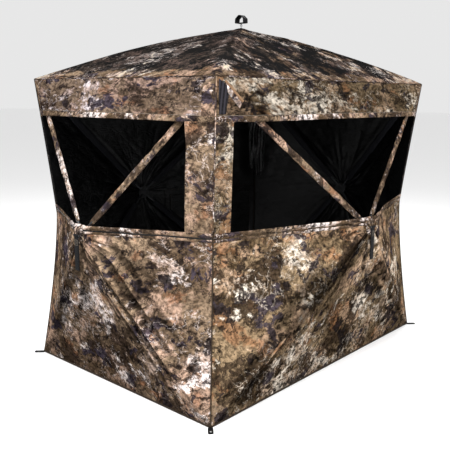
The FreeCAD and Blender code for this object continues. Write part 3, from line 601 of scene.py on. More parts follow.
def grid_faces(rows, cols, wrap_cols=False, wrap_rows=False, flip=False):
    i = np.arange(rows if wrap_rows else rows - 1)
    j = np.arange(cols if wrap_cols else cols - 1)
    i, j = (a.ravel() for a in np.meshgrid(i, j, indexing="ij"))
    i1, j1 = (i + 1) % rows, (j + 1) % cols
    quad = np.stack([i * cols + j, i * cols + j1, i1 * cols + j1, i1 * cols + j], axis=1)
    return quad[:, ::-1] if flip else quad


def thicken(obj, thick, offset=-1.0, inside=None):
    """A Solidify modifier, so that a sheet has two faces. Inside is its inner face's slot."""
    modifier = obj.modifiers.new("thickness", "SOLIDIFY")
    modifier.thickness = thick
    modifier.offset = offset
    modifier.use_even_offset = False
    if inside is not None:
        modifier.material_offset = inside
    return obj


def follow(obj, panel, gauge):
    """Bakes the piece's placement into its mesh; it is not bent between the shell's outline and the
    panel's hub.
    """
    axis = Vector(panel.out) * (0.2 if panel.name != "roof" else 0.28)
    end = Vector(panel.base) + Vector(panel.out) * panel.reach
    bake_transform(obj)
    return obj


def panel_sheet(
    name, panel, x, y, slots, lift=0.0, thick=CLOTH, wrap=False, inside=1, grain=(1, 1)
):
    """A grid of cloth on a panel's surface, camouflage outside and lining inside."""
    points = panel.place(x, y, lift)
    rows, cols = x.shape
    row, col = rows // 2, cols // 2
    down = points[min(row + 1, rows - 1), col] - points[max(row - 1, 0), col]
    along = points[row, min(col + 1, cols - 1)] - points[row, max(col - 1, 0)]
    faces = grid_faces(rows, cols, wrap_cols=wrap, flip=np.dot(np.cross(along, down), panel.out) < 0)
    coords = print_coords(panel, x * grain[0], y * grain[1], panel.seed * PRINT_STEP[2])
    obj = make(name, points, faces, slots, coords=coords)
    gauge = panel.gauge(x, y)
    # Painted shade on the roof: "rim" is 1 at the eave, near the corners and partly on the front gore,
    # where the print keeps the walls' tone; the roof's material darkens and greys it elsewhere.
    if panel.name == "roof":
        ends = [(panel.outline[0][i], panel.outline[1][i]) for i in panel.corner_at]
        corner = np.min([np.hypot(x - ex, y - ey) for ex, ey in ends], axis=0)
        lit_front_gore = 0.27 * smooth(-0.02, 0.06, -y / EAVE[1] - np.abs(x) / EAVE[0])
        near_corner = 1 - smooth(0.06, 0.26, corner) + lit_front_gore
        mark(obj, "rim", np.maximum(1 - smooth(0.0, 0.16, gauge), near_corner))
    # Painted shade and highlight: crease depth less the painted shadow, which the material turns into
    # darker valleys and lighter ridges.
    mark(obj, "fold", panel.creases(x, y) / 0.006 - panel.shadow(x, y))
    if thick:
        thicken(obj, thick, inside=inside)
    return follow(obj, panel, gauge)


MIDDLE_WEIGHT = 0.35
ROUND_COLS = 520
ROUND_STEPS = np.linspace(0, 1, 90) ** 1.25


def spread_turns(panel, limit, n):
    """Directions round the hub, close enough together for both the piece's edge and its middle."""
    theta = np.linspace(panel.start, panel.start + 2 * math.pi, 20001)
    theta = np.sort(np.concatenate([theta, panel.corner_turns]))
    r = limit(theta)
    px, py = r * np.cos(theta), r * np.sin(theta)
    length = np.hypot(np.diff(px), np.diff(py))
    share = length / length.sum() + MIDDLE_WEIGHT * np.diff(theta) / (2 * math.pi)
    total = np.concatenate([[0], np.cumsum(share)])
    at = np.interp(np.linspace(0, total[-1], n + 1), total, theta)
    for corner in panel.corner_turns:
        at[np.argmin(np.abs(at - corner))] = corner
    return at[:-1]


def ray_sheet(name, panel, theta, limits, steps, cloth, wrap=False):
    """Cloth along rays from the hub's hole out to each ray's limit."""
    radius = HOLE + (limits[None] - HOLE) * steps[:, None]
    x, y = radius * np.cos(theta), radius * np.sin(theta)
    return panel_sheet(name, panel, x, y, [cloth, LINING], wrap=wrap)


def round_sheet(name, panel, limit, cloth):
    theta = spread_turns(panel, limit, ROUND_COLS)
    return ray_sheet(name, panel, theta, limit(theta), ROUND_STEPS, cloth, wrap=True)


def outline_distance(panel):
    def limit(theta):
        ex, ey, _ = panel.edge(theta)
        return np.hypot(ex, ey)

    return limit


def below_sill(panel):
    whole = outline_distance(panel)

    def limit(theta):
        rise = np.sin(theta)
        sill = np.where(rise > 1e-3, (SILL - HUB_Z) / np.maximum(rise, 1e-3), 9.0)
        return np.minimum(whole(theta), sill)

    return limit


def band_sheet(name, panel, slots):
    y = np.linspace(WINDOW_TOP - HUB_Z, WALL_TOP - HUB_Z, 30)[:, None]
    x = seam_x(panel, y) * np.linspace(-1, 1, 260)[None]
    return panel_sheet(name, panel, x, np.broadcast_to(y, x.shape), slots, grain=(0.72, 1.3))


def post_sheet(name, panel, side, wide, slots):
    y = np.linspace(SILL - HUB_Z - 0.006, WINDOW_TOP - HUB_Z + 0.006, 110)[:, None]
    share = np.linspace(0, 1, 24)[None]
    x = side * (seam_x(panel, y) - 0.0005 - wide * share)
    return panel_sheet(name, panel, x, np.broadcast_to(y, x.shape), slots, lift=0.0012)


def level_line(panel, y, keep):
    """A level line across a wall, from seam to seam but for a share left free."""
    return seam_x(panel, y) * np.linspace(-1, 1, 240) * keep, np.full(240, y)


def strip(
    name, panel, x, y, wide, material,
    lift=0.0012, crown=0.0008, thick=0.0012, wave=0.0, inner=False,
):
    """A tape, hem or seam on a panel: a centre line (x, y) with a width, bowed a little across."""
    x, y = (np.asarray(a, float) for a in np.broadcast_arrays(x, y))
    dx, dy = np.gradient(x), np.gradient(y)
    length = np.hypot(dx, dy)
    nx, ny = -dy / length, dx / length
    a = np.linspace(-0.5, 0.5, 7)[:, None]
    along = run_length(stack(x, y))
    edge_wave = wave * noise(along * 18, a * 0.5, 0, 5)
    gx, gy = x + nx * (a * wide + edge_wave), y + ny * (a * wide + edge_wave)
    rise = lift + crown * (1 - (2 * a) ** 2) + 0 * gx
    sign = -1 if inner else 1
    points = panel.place(gx, gy, sign * rise - (CLOTH if inner else 0))
    facing = np.cross(points[3, 1] - points[3, 0], points[4, 0] - points[3, 0])
    flip = (np.dot(facing, panel.out) < 0) != inner
    coords = stack(along, a * wide, 0.3)
    obj = make(name, points, grid_faces(*gx.shape, flip=flip), [material], coords=coords)
    thicken(obj, thick)
    follow(obj, panel, panel.gauge(gx, gy))
    return obj


def tube(points, radius, n=10, up=UP, closed=False, squash=1.0, wobble=0.0, seed=0):
    """Vertices of a tube along a line, with an optional flattened section."""
    p = np.asarray(points, float)
    if closed:
        d = np.roll(p, -1, 0) - np.roll(p, 1, 0)
    else:
        d = np.gradient(p, axis=0)
    d = unit(d)
    side = unit(np.cross(d, up))
    other = np.cross(side, d)
    turn = circle(n)
    r = np.broadcast_to(radius, len(p))[:, None]
    if wobble:
        along = run_length(p)[:, None]
        r = r * (1 + wobble * noise(along * 30, np.cos(turn) * 1.5, np.sin(turn) * 1.5, seed))
    wide, tall = np.cos(turn) * r, np.sin(turn) * r * squash
    return p[:, None] + (side[:, None] * wide[..., None] + other[:, None] * tall[..., None])


def tube_piece(name, points, radius, material, body, n=10, closed=False, up=UP, wobble=0.0):
    ring = tube(points, radius, n, up, closed, 1.0, wobble)
    rows, cols = ring.shape[:2]
    turn = circle(n)
    coords = stack(run_length(points)[:, None], np.mean(radius) * turn, 0.0)
    faces = [tuple(f) for f in grid_faces(rows, cols, wrap_cols=True, wrap_rows=closed, flip=True)]
    if not closed:
        faces += [tuple(range(cols)), tuple((rows - 1) * cols + k for k in reversed(range(cols)))]
    obj = make(name, ring, faces, [material], coords=coords)
    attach(obj, body)
    return obj


# --- camera, floor and light

scene = bpy.context.scene
TARGET = Vector((-0.05, 0.0625, 0.6875))
AZIMUTH, RISE, AWAY, ROLL = math.radians(221.8), math.radians(11.1), 3.8375, math.radians(0.5)
camera = bpy.data.objects.new("camera", bpy.data.cameras.new("camera"))
scene.collection.objects.link(camera)
toward = Vector((math.cos(AZIMUTH) * math.cos(RISE), math.sin(AZIMUTH) * math.cos(RISE), math.sin(RISE)))
camera.matrix_world = Matrix.Translation(TARGET + toward * AWAY) @ (
    toward.to_track_quat("Z", "Y").to_matrix().to_4x4() @ Matrix.Rotation(ROLL, 4, "Z")
)
camera.data.sensor_width = 36.0
camera.data.lens = 52.4
scene.camera = camera
scene.view_settings.view_transform = "Standard"

FLOOR_SIZE, FLOOR_Z = 60.0, -0.001
FLOOR_PAPER = moulded("floor_paper", rgb(246, 246, 246), rgb(250, 250, 250), 0.9)
corners = [(sx * FLOOR_SIZE, sy * FLOOR_SIZE, FLOOR_Z) for sx, sy in CORNER_SIGNS]
floor = make("floor", corners, [(0, 1, 2, 3)], [FLOOR_PAPER])

world = bpy.data.worlds.new("studio")
scene.world = world
world.use_nodes = True
backdrop = world.node_tree.nodes["Background"]
backdrop.inputs["Color"].default_value = (1, 1, 1, 1)
backdrop.inputs["Strength"].default_value = 0.80


def soft_light(name, azimuth, height, away, size, power):
    """A square of soft light aimed at the middle of the blind."""
    lamp = bpy.data.lights.new(name, "AREA")
    lamp.shape = "RECTANGLE"
    lamp.size, lamp.size_y = size
    lamp.energy = power
    obj = bpy.data.objects.new(name, lamp)
    scene.collection.objects.link(obj)
    a = math.radians(azimuth)
    obj.location = (away * math.cos(a), away * math.sin(a), height)
    look = Vector((0, 0, 0.9)) - obj.location
    obj.rotation_euler = look.to_track_quat("-Z", "Y").to_euler()


soft_light("key_light", 202, 4.3, 3.2, (2.0, 1.6), 260)
soft_light("side_light", 262, 4.0, 3.2, (2.0, 1.6), 135)
soft_light("low_light", 216, 1.25, 5.0, (0.5, 0.7), 22)
soft_light("back_light", 40, 4.0, 3.6, (2.4, 1.8), 90)

# --- cloth shell


def panel_piece(name, panel, corners, shape, material, lift):
    """A four-cornered patch on a panel, from its corner points in the panel's plane."""
    u, v = np.meshgrid(np.linspace(0, 1, shape[0]), np.linspace(0, 1, shape[1]), indexing="ij")
    shares = ((1 - u) * (1 - v), u * (1 - v), u * v, (1 - u) * v)
    xy = sum(w[..., None] * p for w, p in zip(shares, np.asarray(corners, float)))
    return panel_sheet(
        name, panel, xy[..., 0], xy[..., 1], [material], lift=lift, thick=0.0012, inside=None
    )


# The front wall wears its painted light-and-shade copies of the print.
LOWER_CLOTH = {"front": CAMO_FRONT, "left": CAMO}
BAND_CLOTH = {"front": CAMO_BAND_FRONT, "left": CAMO_BAND}
POST_CLOTH = {"front": CAMO_POST_FRONT, "left": CAMO_POST}
# A dark strip in the groove between the sill hem and the sill ridge: painted shade, wider on the left.
SILL_GROOVE_SHADE_CLOTH = {"front": BROWN_TAPE, "left": LINING}
SILL_DEPTH = {"front": 0.45, "left": 1.0}
POST_SIDE = {"front": -1, "left": 1}
sheets = {}
for name in ("front", "left"):
    panel = PANEL[name]
    low = round_sheet(f"{name}_lower_cloth", panel, below_sill(panel), LOWER_CLOTH[name])
    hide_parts(f"{name}_lower_panel")
    band = band_sheet(f"{name}_band_cloth", panel, [BAND_CLOTH[name], LINING])
    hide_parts(f"{name}_top_band")
    post_cloth = [POST_CLOTH[name], LINING]
    post = post_sheet(f"{name}_post_cloth", panel, POST_SIDE[name], POST[name], post_cloth)
    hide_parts("near_corner_post")
    top, sill = WINDOW_TOP - HUB_Z, SILL - HUB_Z

    def level(label, y, wide, material, **more):
        where = level_line(panel, y, 0.999)
        return strip(f"{name}_{label}", panel, *where, wide, material, **more)

    deep = SILL_DEPTH[name]
    thin = {"thick": 0.0006}
    hems = [
        level("window_top_hem", top + 0.011, 0.024, HEM, crown=0.0022, wave=0.0012),
        level("window_top_stitch", top + 0.025, 0.0016, THREAD, lift=0.0006, **thin),
        level("sill_hem", sill - 0.007, 0.020, HEM, crown=0.0045, wave=0.0020),
        # The dark strip between the two sill hems is painted shade of the groove.
        level(
            "sill_gap", sill - 0.0215, 0.0070 * deep, SILL_GROOVE_SHADE_CLOTH[name],
            lift=0.0004, crown=0.0002, wave=0.0015, **thin,
        ),
        level("sill_ridge", sill - 0.031, 0.013, HEM, crown=0.0038 * deep, wave=0.0025),
    ]
    sheets[name] = [low, band, post, *hems]

RIGHT, ROOF = PANEL["right"], PANEL["roof"]
right = round_sheet("right_wall_cloth", RIGHT, outline_distance(RIGHT), CAMO)
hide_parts("right_wall_panel")
roof = round_sheet("roof_cloth", ROOF, outline_distance(ROOF), CAMO_ROOF)
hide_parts("roof_panel")

# --- rear wall and its door

REAR = PANEL["rear"]
DOOR_MARGIN, DOOR_GAP, DOOR_KEEP = 0.035, 0.004, 0.2


def inset(outline, distances):
    """A flat outline in space with each side moved inwards. Side k runs from point k to the next."""
    p = np.asarray(outline, float)
    along = unit(np.roll(p, -1, 0) - p)
    normal = unit(np.cross(along[0], along[1]))
    moved = []
    for k in range(len(p)):
        sine = np.dot(np.cross(along[k - 1], along[k]), normal)
        moved.append(p[k] + (along[k] * distances[k - 1] - along[k - 1] * distances[k]) / sine)
    return np.array(moved)


def side_lines(outer, inner, k, n=160):
    """Side k of two matching outlines, as two lines."""
    return [line(q[k], q[(k + 1) % 4], n) for q in (outer, inner)]


def door_outline():
    """The door's gore in the rear panel's frame: waist, foot, and their ends near the hub."""
    waist = np.array([-(WAIST[0] - SEAM_GAP), WAIST_Z - HUB_Z, WAIST[1]])
    foot = np.array([-(FOOT[0] - SEAM_GAP), -HUB_Z, FOOT[1]])
    top = np.array([0.0, 0.0, REAR.reach])
    return np.array([waist, foot, top + (foot - top) * DOOR_KEEP, top + (waist - top) * DOOR_KEEP])


DOOR = door_outline()
DOOR_NORMAL = unit(np.cross(DOOR[1] - DOOR[0], DOOR[2] - DOOR[1]))
DOOR_NORMAL = DOOR_NORMAL * np.sign(DOOR_NORMAL[2])


def door_plane(x, y):
    """The flat gore's height out of the rear panel's plane."""
    n, p = DOOR_NORMAL, DOOR[0]
    return p[2] - (n[0] * (x - p[0]) + n[1] * (y - p[1])) / n[2]


def in_gore(x, y):
    """1 well inside the door's gore and 0 at its edges."""
    inside = 1.0
    for a, b in ((DOOR[3], DOOR[0]), (DOOR[1], DOOR[2])):
        d = unit((b - a)[:2])
        inside = inside * smooth(0.0, 0.03, d[0] * (y - a[1]) - d[1] * (x - a[0]))
    return inside * smooth(0.0, 0.03, x + seam_x(REAR, np.minimum(y, 0.0)))


def calm_surface(x, y, bumpy=REAR.surface):
    """The rear panel's height, flat in the door's gore."""
    share = in_gore(x, y)
    return bumpy(x, y) * (1 - share) + door_plane(x, y) * share


REAR.surface = calm_surface
waist_turn = REAR.count_on(np.arctan2(DOOR[0][1], DOOR[0][0]))
foot_turn = REAR.corner_turns[3] - 2 * math.pi
theta = spread_turns(REAR, outline_distance(REAR), 560)
theta = np.concatenate([theta, theta - 2 * math.pi, [waist_turn, foot_turn]])
theta = theta[(theta >= foot_turn - 1e-9) & (theta <= waist_turn + 1e-9)]
theta = np.unique(np.round(theta, 9))
limits = outline_distance(REAR)(theta)
rear = ray_sheet("rear_wall_cloth", REAR, theta, limits, ROUND_STEPS, CAMO)
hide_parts("rear_wall_panel")

opening = inset(DOOR, [DOOR_MARGIN] * 4)
rim, core = [], []
for k in range(4):
    side, edge = (q[:-1] for q in side_lines(DOOR, opening, k, 49))
    if k == 0:
        side[:, 0] = -seam_x(REAR, side[:, 1])
    rim.append(side[:, :2])
    core.append(edge[:, :2])
rim, core = np.concatenate(rim), np.concatenate(core)
s = np.linspace(0, 1, 7)[:, None, None]
ring = core[None] * s + rim[None] * (1 - s)
door_frame = panel_sheet(
    "door_frame_cloth", REAR, ring[..., 0], ring[..., 1], [CAMO, LINING], wrap=True
)
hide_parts("rear_wall_panel")
turns = np.linspace(waist_turn, REAR.corner_turns[3], 60)
near = line(DOOR[3][:2], DOOR[2][:2], 400)
near_turns = REAR.count_on(np.arctan2(near[:, 1], near[:, 0]))
limits = np.interp(turns, near_turns, np.hypot(near[:, 0], near[:, 1]))
hub_end = ray_sheet("door_hub_end_cloth", REAR, turns, limits, np.linspace(0, 1, 20), CAMO)
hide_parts("rear_wall_panel")


def flat_strip(name, outer, inner, lift, materials, body, slack=0.0, thick=0.0012, rows=6):
    """Cloth between two matching lines in the rear panel's frame, riding on a body."""
    s = np.linspace(0, 1, rows)[:, None, None]
    p = outer[None] * (1 - s) + inner[None] * s
    p = p + DOOR_NORMAL * lift
    if slack:
        along = np.linspace(0, 1, p.shape[1])[None, :, None]
        bow = np.sin(math.pi * s) * np.sin(math.pi * along)
        p = p + DOOR_NORMAL * slack * bow * layered(p[..., :1] * 3, p[..., 1:2] * 5, 0, 77)
    placed = in_row(REAR, p)
    facing = np.cross(placed[0, 1] - placed[0, 0], placed[1, 0] - placed[0, 0])
    flip = np.dot(facing, in_row(REAR, DOOR_NORMAL) - REAR.base) < 0
    coords = print_coords(REAR, p[..., 0], p[..., 1], 1.7)
    obj = make(name, placed, grid_faces(*p.shape[:2], flip=flip), materials, coords=coords)
    thicken(obj, thick, inside=1 if len(materials) > 1 else None)
    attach(obj, body)
    return obj


HEM_WIDE = 0.022
panel_quad = inset(DOOR, [DOOR_MARGIN, *[DOOR_MARGIN + DOOR_GAP] * 3])
door = flat_strip(
    "door_cloth", line(panel_quad[0], panel_quad[1], 120), line(panel_quad[3], panel_quad[2], 120),
    0.0, [CAMO, LINING], "door", slack=0.005, thick=CLOTH, rows=90,
)
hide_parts("door_panel")
hem_out = inset(DOOR, [DOOR_MARGIN - DOOR_GAP, *[DOOR_MARGIN + DOOR_GAP] * 3])
hem_in = inset(DOOR, [DOOR_MARGIN + w for w in (HEM_WIDE, *[DOOR_GAP + HEM_WIDE] * 3)])
door_hems = [
    flat_strip(f"door_hem_{k}", *side_lines(hem_out, hem_in, k), 0.0012, [BROWN_TAPE], "door")
    for k in range(4)
]
tape_out, tape_mid, tape_in = (inset(DOOR, [0.030, w, w, w]) for w in (0.014, 0.0235, 0.0392))
TEETH = 500
tapes, coils = [], []
for k in (1, 2, 3):
    ends = side_lines(tape_out, tape_in, k)
    tapes.append(flat_strip(f"zip_tape_{k}", *ends, 0.0027, [BLACK_TAPE], "door_zip_frame"))
    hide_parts("door_zip_tape")
    middle = line(tape_mid[k], tape_mid[(k + 1) % 4], TEETH)
    track = in_row(REAR, middle + DOOR_NORMAL * 0.0036)
    teeth = 0.0016 + 0.0007 * np.sin(np.arange(TEETH) * math.pi)
    coils.append(tube_piece(f"zip_coil_{k}", track, teeth, NYLON, "door_zip_frame", n=6))

# --- bindings, patches and boots


def corner_line(sign_x, sign_y, low, high):
    """A line up one corner seam between two heights."""
    z = np.linspace(low, high, 120)
    half = seam(z)
    return stack(sign_x * half[0], sign_y * half[1], z)


CORNER_NAMES = ("near", "front_right", "far", "rear_left")
for label, (sx, sy) in zip(CORNER_NAMES, CORNER_SIGNS):
    for part, low, high, material in (
        ("lower", 0.004, SILL, BROWN_TAPE),
        ("upper", SILL, EAVE_Z - 0.004, CAMO_POST if label == "near" else BLACK_TAPE),
    ):
        path, outwards = corner_line(sx, sy, low, high), np.array([sx, sy, 0.0])
        part_name = f"corner_binding_{label}_{part}"
        tube_piece(part_name, path, 0.0027, material, "shell", up=outwards)
        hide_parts("rear_wall_panel")
INWARDS = np.array([1 - 0.004 / EAVE[0], 1 - 0.004 / EAVE[1], 1.0])
for k in range(4):
    ends = [np.array(CORNER_SIGNS[(k + j) % 4]) * EAVE for j in (1, 2)]
    a, b = (np.array([*end, EAVE_Z - 0.0030]) for end in ends)
    path = line(a, b, 200)
    tube_piece(f"eave_binding_{k}", path, 0.0016, CAMO_BAND, "shell", n=8, wobble=0.12)
    path = line(a * INWARDS, b * INWARDS, 200)
    tube_piece(f"eave_seam_{k}", path, 0.0030, LINING, "shell", n=8)

PATCH_LONG, PATCH_WIDE = 0.185, 0.050
BOOT_HIGH, BOOT_LONG = 0.130, 0.104
# The near corner's slate patch and flap: distances from the corner seam and below the wall's top.
SLATE_PATCH = ((0.008, 0.004), (0.013, 0.146), (0.043, 0.146), (0.058, 0.040))
FLAP = ((0.040, 0.012), (0.118, 0.094), (0.104, 0.122), (0.050, 0.060))
trims = []
for name in WALLS:
    panel = PANEL[name]
    foot_half = seam_x(panel, -HUB_Z)
    x, y = level_line(panel, -HUB_Z, 0.998)
    trims.append(strip(f"{name}_foot_hem", panel, x, y + 0.0070, 0.011, BROWN_TAPE))
    for side, label in ((-1, "left"), (1, "right")):
        top = WALL_TOP - HUB_Z - 0.004
        if (name, label) == ("front", "left"):
            material = SLATE
            points = [(-seam_x(panel, top - d) + a, top - d) for a, d in SLATE_PATCH]
            flap = [(-seam_x(panel, top - d) + a, top - d) for a, d in FLAP]
            trims.append(
                panel_piece("front_corner_flap", panel, flap, (40, 24), CAMO_POST, 0.0020)
            )
            edge = line(np.array(flap[0]), np.array(flap[1]), 80)
            trims.append(
                strip(
                    "front_corner_flap_edge", panel, edge[:, 0], edge[:, 1], 0.012, TAN_TAPE,
                    lift=0.0032, crown=0.002,
                )
            )
        else:
            material = CAMO_POST
            shape = ((0, 0), (0, PATCH_LONG), (PATCH_WIDE, PATCH_LONG), (PATCH_WIDE, 0.037))
            points = [(side * (seam_x(panel, top - d) - 0.003 - a), top - d) for a, d in shape]
        patch = f"{name}_top_patch_{label}"
        trims.append(panel_piece(patch, panel, points, (30, 12), material, 0.0016))
        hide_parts("top_corner_patches")
        if (name, label) == ("rear", "left"):
            continue
        foot = np.array([side * (foot_half - 0.003), -HUB_Z + 0.003])
        seam_y = -HUB_Z + BOOT_HIGH
        up_seam = np.array([side * (float(seam_x(panel, seam_y)) - 0.003), seam_y])
        hub_way = foot * (1 - BOOT_LONG / np.linalg.norm(foot))
        middle = (up_seam + hub_way) / 2
        middle = middle + (foot - middle) * 0.05
        points = [foot, hub_way, middle, up_seam]
        boot = f"{name}_boot_{label}"
        trims.append(panel_piece(boot, panel, points, (16, 16), CAMO_POST, 0.0016))
        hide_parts("bottom_corner_boots")
for name in ("right", "rear"):
    panel = PANEL[name]
    where = level_line(panel, WINDOW_TOP - HUB_Z, 0.995)
    trims.append(strip(f"{name}_band_seam", panel, *where, 0.012, HEM, crown=0.0015))
    seam_fit = {"lift": 0.0010, "crown": 0.0006, "inner": True}
    trims.append(strip(f"{name}_inner_seam", panel, *where, 0.006, THREAD, **seam_fit))

# --- poles' sleeves


POLE_CORNERS = ("lower_right", "upper_right", "upper_left", "lower_left")
EYE, TIP = 0.062, 0.030
CAMO_SLEEVE, BLACK_SLEEVE = (0.0165, 0.5), (0.021, 0.32)


def pole_ends(panel, corner):
    """Pin and tip of a pole in its panel's frame."""
    i = panel.corner_at[POLE_CORNERS.index(corner)]
    end = np.array([axis[i] for axis in panel.outline])
    top = np.array([0, 0, panel.reach])
    flat = np.hypot(end[0], end[1])
    heading = np.array([end[0], end[1], 0]) / flat
    pin = heading * PIVOT + top - [0, 0, HUB_DROP]
    slope = (panel.reach - end[2]) / flat
    back = unit(top - end) * TIP_INSET
    return pin, end + back - [0, 0, HUB_DROP - PIVOT * slope]


def sleeve(name, panel, corner, start, end, section, material, seed):
    """A cloth tube round a pole, from start past its pin to end short of its tip."""
    half, squash = section
    pin, tip = pole_ends(panel, corner)
    length = np.linalg.norm(tip - pin)
    s = np.linspace(start, length - end, 150)
    p = pin + (tip - pin) * (s / length)[:, None]
    if panel.name == "roof":
        t = np.clip((s - EYE) / (length - EYE - TIP), 0, 1)
        p[:, 2] += 4 * ROOF_BOW * t * (1 - t)
    taper = 1 - 0.25 * np.exp(-(s - s[0]) / 0.03) - 0.15 * np.exp(-(s[-1] - s) / 0.03)
    width = half * taper * (1 + 0.10 * noise(s * 16, 0.0, 0.0, seed))
    ring = tube(in_row(panel, p), width, 18, panel.out, False, squash, 0.14, seed)
    rows, cols = ring.shape[:2]
    turn = circle(cols)
    coords = stack(s[:, None] + seed * 0.7, half * turn, seed)
    faces = grid_faces(rows, cols, wrap_cols=True, flip=True)
    obj = make(name, ring, faces, [material], coords=coords)
    thicken(obj, 0.0008)
    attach(obj, f"{panel.name}_pole_{corner}_body")
    return obj


for name in PANELS:
    panel = PANEL[name]
    for k, corner in enumerate(CORNERS):
        seed = 3 + panel.seed + k
        if name in ("front", "left") and corner.startswith("upper"):
            pin, tip = pole_ends(panel, corner)
            length = np.linalg.norm(tip - pin)
            at = (WINDOW_TOP - HUB_Z - pin[1]) / (tip[1] - pin[1]) * length
            piece = sleeve(
                f"{name}_sleeve_cloth_{corner}", panel, corner, 0.040, length - at - 0.018,
                CAMO_SLEEVE, CAMO_POST, seed,
            )
            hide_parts(f"{name}_sleeve_{corner}")
        else:
            label = f"{name}_inner_sleeve_{corner}"
            sleeve(label, panel, corner, 0.075, 0.055, BLACK_SLEEVE, SLEEVE_BLACK, seed)

# --- hubs and straps


def webbing_band(name, path, width_way, width, thick, material, body, closed=False):
    """A flat webbing of that width along a path."""
    a = np.linspace(-0.5, 0.5, 9)
    points = path[:, None] + np.asarray(width_way, float) * (a * width)[None, :, None]
    coords = stack(run_length(path)[:, None], a * width, 0.0)
    faces = grid_faces(len(path), len(a), wrap_rows=closed)
    obj = make(name, points, faces, [material], coords=coords)
    thicken(obj, thick, offset=0.0)
    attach(obj, body)
    return obj


def arc(centre, radius, start, end, n):
    turn = np.radians(np.linspace(start, end, n))
    return stack(0, centre[0] + radius * np.cos(turn), centre[1] + radius * np.sin(turn))


CAP_SINK, CAP_THICK, BAR_RISE = 0.0025, 0.004, 0.008
STRAP_WIDE, STRAP_THICK, STRAP_KEEP = 0.028, 0.0020, 0.12
STRAP_NECK, STRAP_END, PLY = -0.012, -0.163, 0.0012
LOOP_RADIUS, LOOP_TURN = 0.0046, 160
# The box stitch, across and down the strap.
STITCH = [(x * 0.010, y) for x, y in (
    (-1, -0.020), (1, -0.020), (-1, -0.046), (1, -0.046),
    (-1, -0.020), (-1, -0.046), (1, -0.020), (1, -0.046),
)]
for name in WALLS:
    panel = PANEL[name]
    axis_out = panel.reach - CAP_SINK + CAP_THICK + BAR_RISE
    body = f"{name}_pull_unit"
    front, back = PLY + axis_out, -PLY + axis_out
    bend = arc((0, axis_out), LOOP_RADIUS, LOOP_TURN, -LOOP_TURN, 28)
    ends = [[0, STRAP_NECK, front]], [[0, STRAP_NECK, back]]
    paths = {
        "loop": polyline(np.concatenate([ends[0], bend, ends[1]]), 4),
        "webbing": np.concatenate([
            line(np.array([0, a, out]), np.array([0, b, out]), 30)
            for a, b, out in ((STRAP_NECK, STRAP_END, front), (STRAP_END, STRAP_NECK, back))
        ]),
    }
    for label, path in paths.items():
        piece = webbing_band(
            f"{name}_strap_{label}", in_row(panel, path), panel.across, STRAP_WIDE, STRAP_THICK,
            BLACK_TAPE, body,
        )
        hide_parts(f"{name}_pull_strap")
    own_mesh(piece)
    for face, label in ((1, "out"), (-1, "in")):
        corners = np.array([(x, y, axis_out + face * 0.0024) for x, y in STITCH])
        path = polyline(in_row(panel, corners), 12)[:-1]
        stitch = f"{name}_strap_stitch_{label}"
        thread = tube_piece(stitch, path, 0.0006, THREAD, body, n=5, up=panel.out)
        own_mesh(thread)

COVER_RADIUS = 0.040
for name in PANELS:
    panel = PANEL[name]
    r = np.linspace(0.0, COVER_RADIUS, 22)[:, None]
    turn = circle(120)[None]
    twist = turn + 1.1 * r / COVER_RADIUS
    gather = noise(np.cos(twist) * 3.4, np.sin(twist) * 3.4, 0.0, panel.seed + 41)
    gather = np.abs(gather) - 0.3
    swirl = -gather * smooth(0.002, 0.020, r) * 0.0030
    fall = 0.0022 * smooth(0.019, 0.028, r) + 0.0058 * smooth(0.026, COVER_RADIUS, r)
    height = panel.reach + 0.0030 - fall + swirl
    x, y = r * np.cos(turn), r * np.sin(turn)
    if name == "roof":
        height = panel.surface(x, y) + 0.0026 * (1 - r / COVER_RADIUS) + 0.4 * swirl + 0.0008
    p = stack(x, y, height)
    cover = make(
        f"{name}_cap_cover", in_row(panel, p), grid_faces(*p.shape[:2], wrap_cols=True),
        [CAMO_ROOF if name == "roof" else CAMO], coords=print_coords(panel, x, y, 0.5),
    )
    # Painted shade in the cap cover's gathers, through the attribute "fold".
    mark(cover, "fold", -gather * 3.4 - 0.5)
    thicken(cover, 0.0007)
    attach(cover, f"{name}_hub_unit")
    if name == "roof":
        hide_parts("roof_hub_cap")

# The roof pull: a stiff webbing loop with rounded corners, on a wire link.
LOOP_BASE, LOOP_WIDE, LOOP_THICK, LOOP_ROUND = 1.8224, 0.038, 0.0028, 0.004
HALF_LOOP = [(0.0295, 0.0015), (0.0280, 0.0245), (0.0060, 0.0425)]
LINK_Z, LINK_RADIUS, WIRE = 1.8179, 0.0045, 0.0012
corners = np.array(HALF_LOOP + [(-y, z) for y, z in reversed(HALF_LOOP)])
loop = []
for k in range(6):
    a, b, c = (corners[(k + j) % 6] for j in (-1, 0, 1))
    into, away = unit(a - b), unit(c - b)
    for t in np.linspace(0, 1, 7):
        loop.append(b + into * LOOP_ROUND * (1 - t) ** 2 + away * LOOP_ROUND * t**2)
loop = polyline(np.array([(0, y, LOOP_BASE + z) for y, z in loop]), 4, closed=True)
pull = webbing_band(
    "roof_pull_webbing", loop, (1, 0, 0), LOOP_WIDE, LOOP_THICK, BLACK_TAPE, "roof_pull_unit",
    closed=True,
)
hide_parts("roof_pull_strap")
turn = circle(40)
wire = stack(LINK_RADIUS * np.cos(turn), 0, LINK_Z + LINK_RADIUS * np.sin(turn))
tube_piece("roof_pull_link", wire, WIRE, STEEL, "roof_pull_unit", closed=True, up=OUT["rear"])

